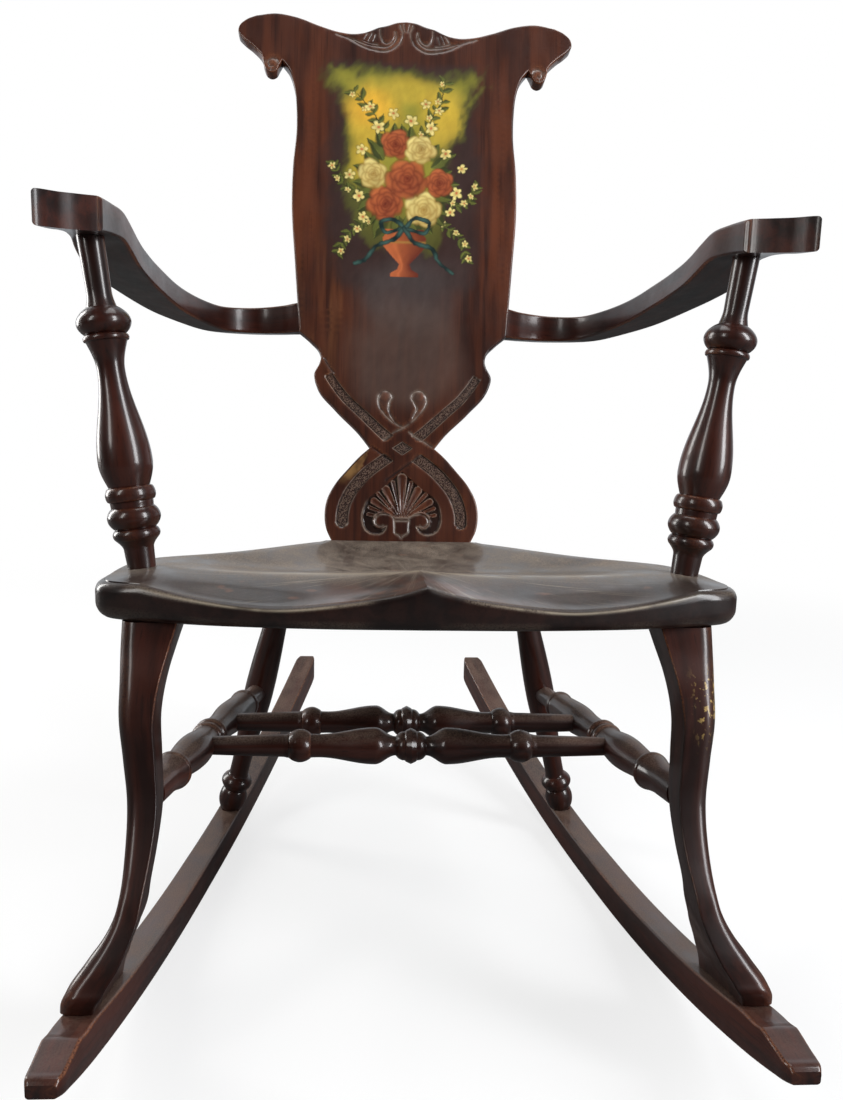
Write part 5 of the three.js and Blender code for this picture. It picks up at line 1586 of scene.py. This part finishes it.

# A point that stands above the mean of its neighbours is rubbed lighter, wear and painted highlight
# together, and one that lies below it gets painted shade
total, near_count = np.zeros(len(flat)), np.zeros(len(flat))
for one, other in ((0, 1), (1, 2), (2, 0), (1, 0), (2, 1), (0, 2)):
    np.add.at(total, faces[:, one], height[faces[:, other]])
    np.add.at(near_count, faces[:, one], 1)
proud = height - total / np.maximum(near_count, 1)
fields = {
    "grain": np.column_stack([all_flat[:, 0], all_out, all_flat[:, 1]]) * MM,
    "wear": np.concatenate([ease(proud, 0.04, 0.30), np.repeat(RIM_WEAR, count)]),
    "shade_and_dirt": np.concatenate([np.maximum(shade_and_dirt, ease(-proud, 0.05, 0.4)), blank]),
    "punched": np.concatenate([band, blank]),
    "paint": np.vstack([art.color, np.zeros((len(blank), 3))]),
    "cover": np.concatenate([art.cover, blank]),
}
sides = ring_quads(ids)[:, [0, 3, 2, 1]]
splat = make_mesh("splat_carved", on_splat(all_flat, all_out), sides, fans, fields)

# %% [markdown]
# The splat wears the common varnish a little warmer, with three things laid over the stain: the punched
# floors of the bands, painted shade with some dirt in the cuts and hollows, and the painting. The punch
# marks are noise, because thousands of small dents in the mesh would cost more faces than the whole chair.
# The painting hides the wood by its cover, less where the weave of its brushwork is thin.

# %% Finish of the splat
PUNCHED_FLOOR, PUNCH_RIM, SHADE_DIRT_COLOR = (0.012, 0.007, 0.006), (0.200, 0.125, 0.090), (0.006, 0.003, 0.0024)


def carved_and_painted(kit, grain, color):
    """Punched floors of the bands, painted shade and dirt in the cuts, and the painting with the weave of
    its brushwork.
    """
    pits = kit.noise(grain, (760, 760, 760), 2.0, 0.5)
    punched = kit.field("punched", "Fac")
    punch = punched * pits.between(0.46, 0.60)
    color = kit.mix(punched * 0.75, color, PUNCHED_FLOOR)
    color = kit.mix(punch * 0.75, color, PUNCH_RIM)
    # Painted shade, with some dirt, darkens the cuts and the hollows
    color = kit.mix(kit.field("shade_and_dirt", "Fac") * 0.75, color, SHADE_DIRT_COLOR)
    weave = kit.noise(grain, (1500, 1500, 500), 3.0, 0.6)
    hidden = (kit.field("cover", "Fac") * (1.12 - weave * 0.30)).clear()
    return kit.mix(hidden, color, kit.field("paint", "Color")), punch * 2.6 + weave * 0.5


splat_wood = varnished("splat_varnish", deep=(0.024, 0.0070, 0.0046), warm=(0.098, 0.0270, 0.0120),
                       coat=0.45, extra=carved_and_painted)
dress(splat, "back_splat", splat_wood)

# %% [markdown]
# The photograph was lit like a catalogue picture: soft windows on both sides and a pale backdrop. A tall
# lamp stands on each side, because the turnings show a long bright line near each of their edges. The
# left one is a little behind the chair, so that flat faces seen from the side don't mirror it, and a
# weaker one ahead of it fills the left front. One more hangs above. A picture of a room would light the
# chair as well, but nothing in it could be moved.

# %% Lamps
DAY_WARM, DAY_COOL, WHITE = (1.0, 0.98, 0.95), (0.97, 0.98, 1.0), (1.0, 1.0, 1.0)


def lamp(name, place, aim, size, power, tint):
    """A rectangular area lamp at `place`, in metres, that faces `aim`."""
    data = bpy.data.lights.new(name, "AREA")
    data.shape, data.size, data.size_y = "RECTANGLE", *size
    data.energy, data.color = power, tint
    holder = bpy.data.objects.new(name, data)
    holder.location = place
    holder.rotation_euler = (Vector(aim) - Vector(place)).to_track_quat("-Z", "Y").to_euler()
    scene.collection.objects.link(holder)
    print(f"{name}: {power:.0f} W")


lamp("lamp_left", (-2.4, 1.1, 1.3), (0.0, 0.0, 0.55), (0.8, 2.2), 64.0, DAY_WARM)
lamp("lamp_left_front", (-1.9, -1.9, 1.7), (0.0, 0.0, 0.6), (0.5, 1.6), 26.0, DAY_WARM)
lamp("lamp_right", (2.1, -1.4, 1.5), (0.0, 0.0, 0.6), (0.7, 2.2), 92.0, DAY_COOL)
lamp("lamp_top", (0.1, 0.1, 2.9), (0.0, 0.0, 0.4), (1.6, 1.4), 26.0, WHITE)

# %% [markdown]
# The backdrop is white for the camera. For the varnish it is bright behind the chair and dark in front of
# it, so that edges gleam and the faces turned to the camera stay dark. The floor does the same: the
# camera sees it almost white, with a soft shadow near the chair, and the wood sees a dull grey.

# %% Backdrop and floor
FLOOR_HALF, FLOOR_GREY, FLOOR_WHITE = 6.0, (0.14, 0.14, 0.14), (0.86, 0.86, 0.86)
SHADOW_SHARE, NEAR_RING, FAR_RING = 0.28, 0.7, 2.4
BACKDROP_DARK, BACKDROP_BRIGHT = 0.03, 0.85
scene.world = bpy.data.worlds.new("studio")
kit = Kit(scene.world)
generated = kit.add("ShaderNodeTexCoord", output="Generated")
behind = kit.add("ShaderNodeSeparateXYZ", {}, {"Vector": generated}, "Y").between(0.10, 0.85)
strength = behind * (BACKDROP_BRIGHT - BACKDROP_DARK) + BACKDROP_DARK
fill = kit.add("ShaderNodeBackground", {}, {"Color": (0.90, 0.95, 1.0, 1.0), "Strength": strength})
seen = kit.add("ShaderNodeBackground", {}, {"Color": (*WHITE, 1.0), "Strength": 1.0})
camera_ray = kit.add("ShaderNodeLightPath", output="Is Camera Ray")
choice = kit.add("ShaderNodeMixShader", {}, {0: camera_ray, 1: fill, 2: seen})
kit.add("ShaderNodeOutputWorld", {}, {"Surface": choice})

floor_mesh = bpy.data.meshes.new("studio_floor")
floor_corners = [(x * FLOOR_HALF, y * FLOOR_HALF, 0) for x, y in ((-1, -1), (1, -1), (1, 1), (-1, 1))]
floor_mesh.from_pydata(floor_corners, [], [(0, 1, 2, 3)])
floor = bpy.data.objects.new("studio_floor", floor_mesh)
scene.collection.objects.link(floor)
kit = Kit(bpy.data.materials.new("pale_floor"))
camera_ray = kit.add("ShaderNodeLightPath", output="Is Camera Ray")
matte = kit.add("ShaderNodeBsdfDiffuse", {}, {"Color": kit.mix(camera_ray, FLOOR_GREY, FLOOR_WHITE)})
glow = kit.add("ShaderNodeEmission", {}, {"Color": (*WHITE, 1.0), "Strength": 1.0})
place = kit.add("ShaderNodeTexCoord", output="Object")
away = kit.add("ShaderNodeVectorMath", {"operation": "LENGTH"}, {0: place}, "Value")
lit = camera_ray * (away.between(NEAR_RING, FAR_RING) * SHADOW_SHARE + (1 - SHADOW_SHARE))
mixed = kit.add("ShaderNodeMixShader", {}, {0: lit, 1: matte, 2: glow})
kit.add("ShaderNodeOutputMaterial", {}, {"Surface": mixed})
floor_mesh.materials.append(kit.owner)

# %% [markdown]
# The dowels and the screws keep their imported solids, because nothing of them shows but a plain round end.
# They only need materials of their own, birch for the dowels and dull steel for the screws.

# %% Dowels and screws
kit = Kit(bpy.data.materials.new("birch_dowel"))
fibre = kit.noise(kit.add("ShaderNodeTexCoord", output="Object"), (900, 900, 40), 4.0, 0.6)
birch = kit.finish(kit.mix(fibre, (0.48, 0.33, 0.18), (0.62, 0.46, 0.28)), 0.62,
                   kit.bump(fibre, 0.0001, 0.3))
kit = Kit(bpy.data.materials.new("screw_steel"))
scuff = kit.noise(kit.add("ShaderNodeTexCoord", output="Object"), (900, 900, 900), 3.0, 0.6)
steel = kit.finish(kit.mix(scuff, (0.20, 0.18, 0.16), (0.36, 0.33, 0.30)), scuff * 0.25 + 0.35,
                   kit.bump(scuff, 0.00005, 0.3), Metallic=1.0)

for name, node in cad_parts.items():
    if "screw" in name:
        node.data.materials[0] = steel
    elif "dowel" in name:
        node.data.materials[0] = birch
print("kept solids:", sum("screw" in name or "dowel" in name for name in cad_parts))
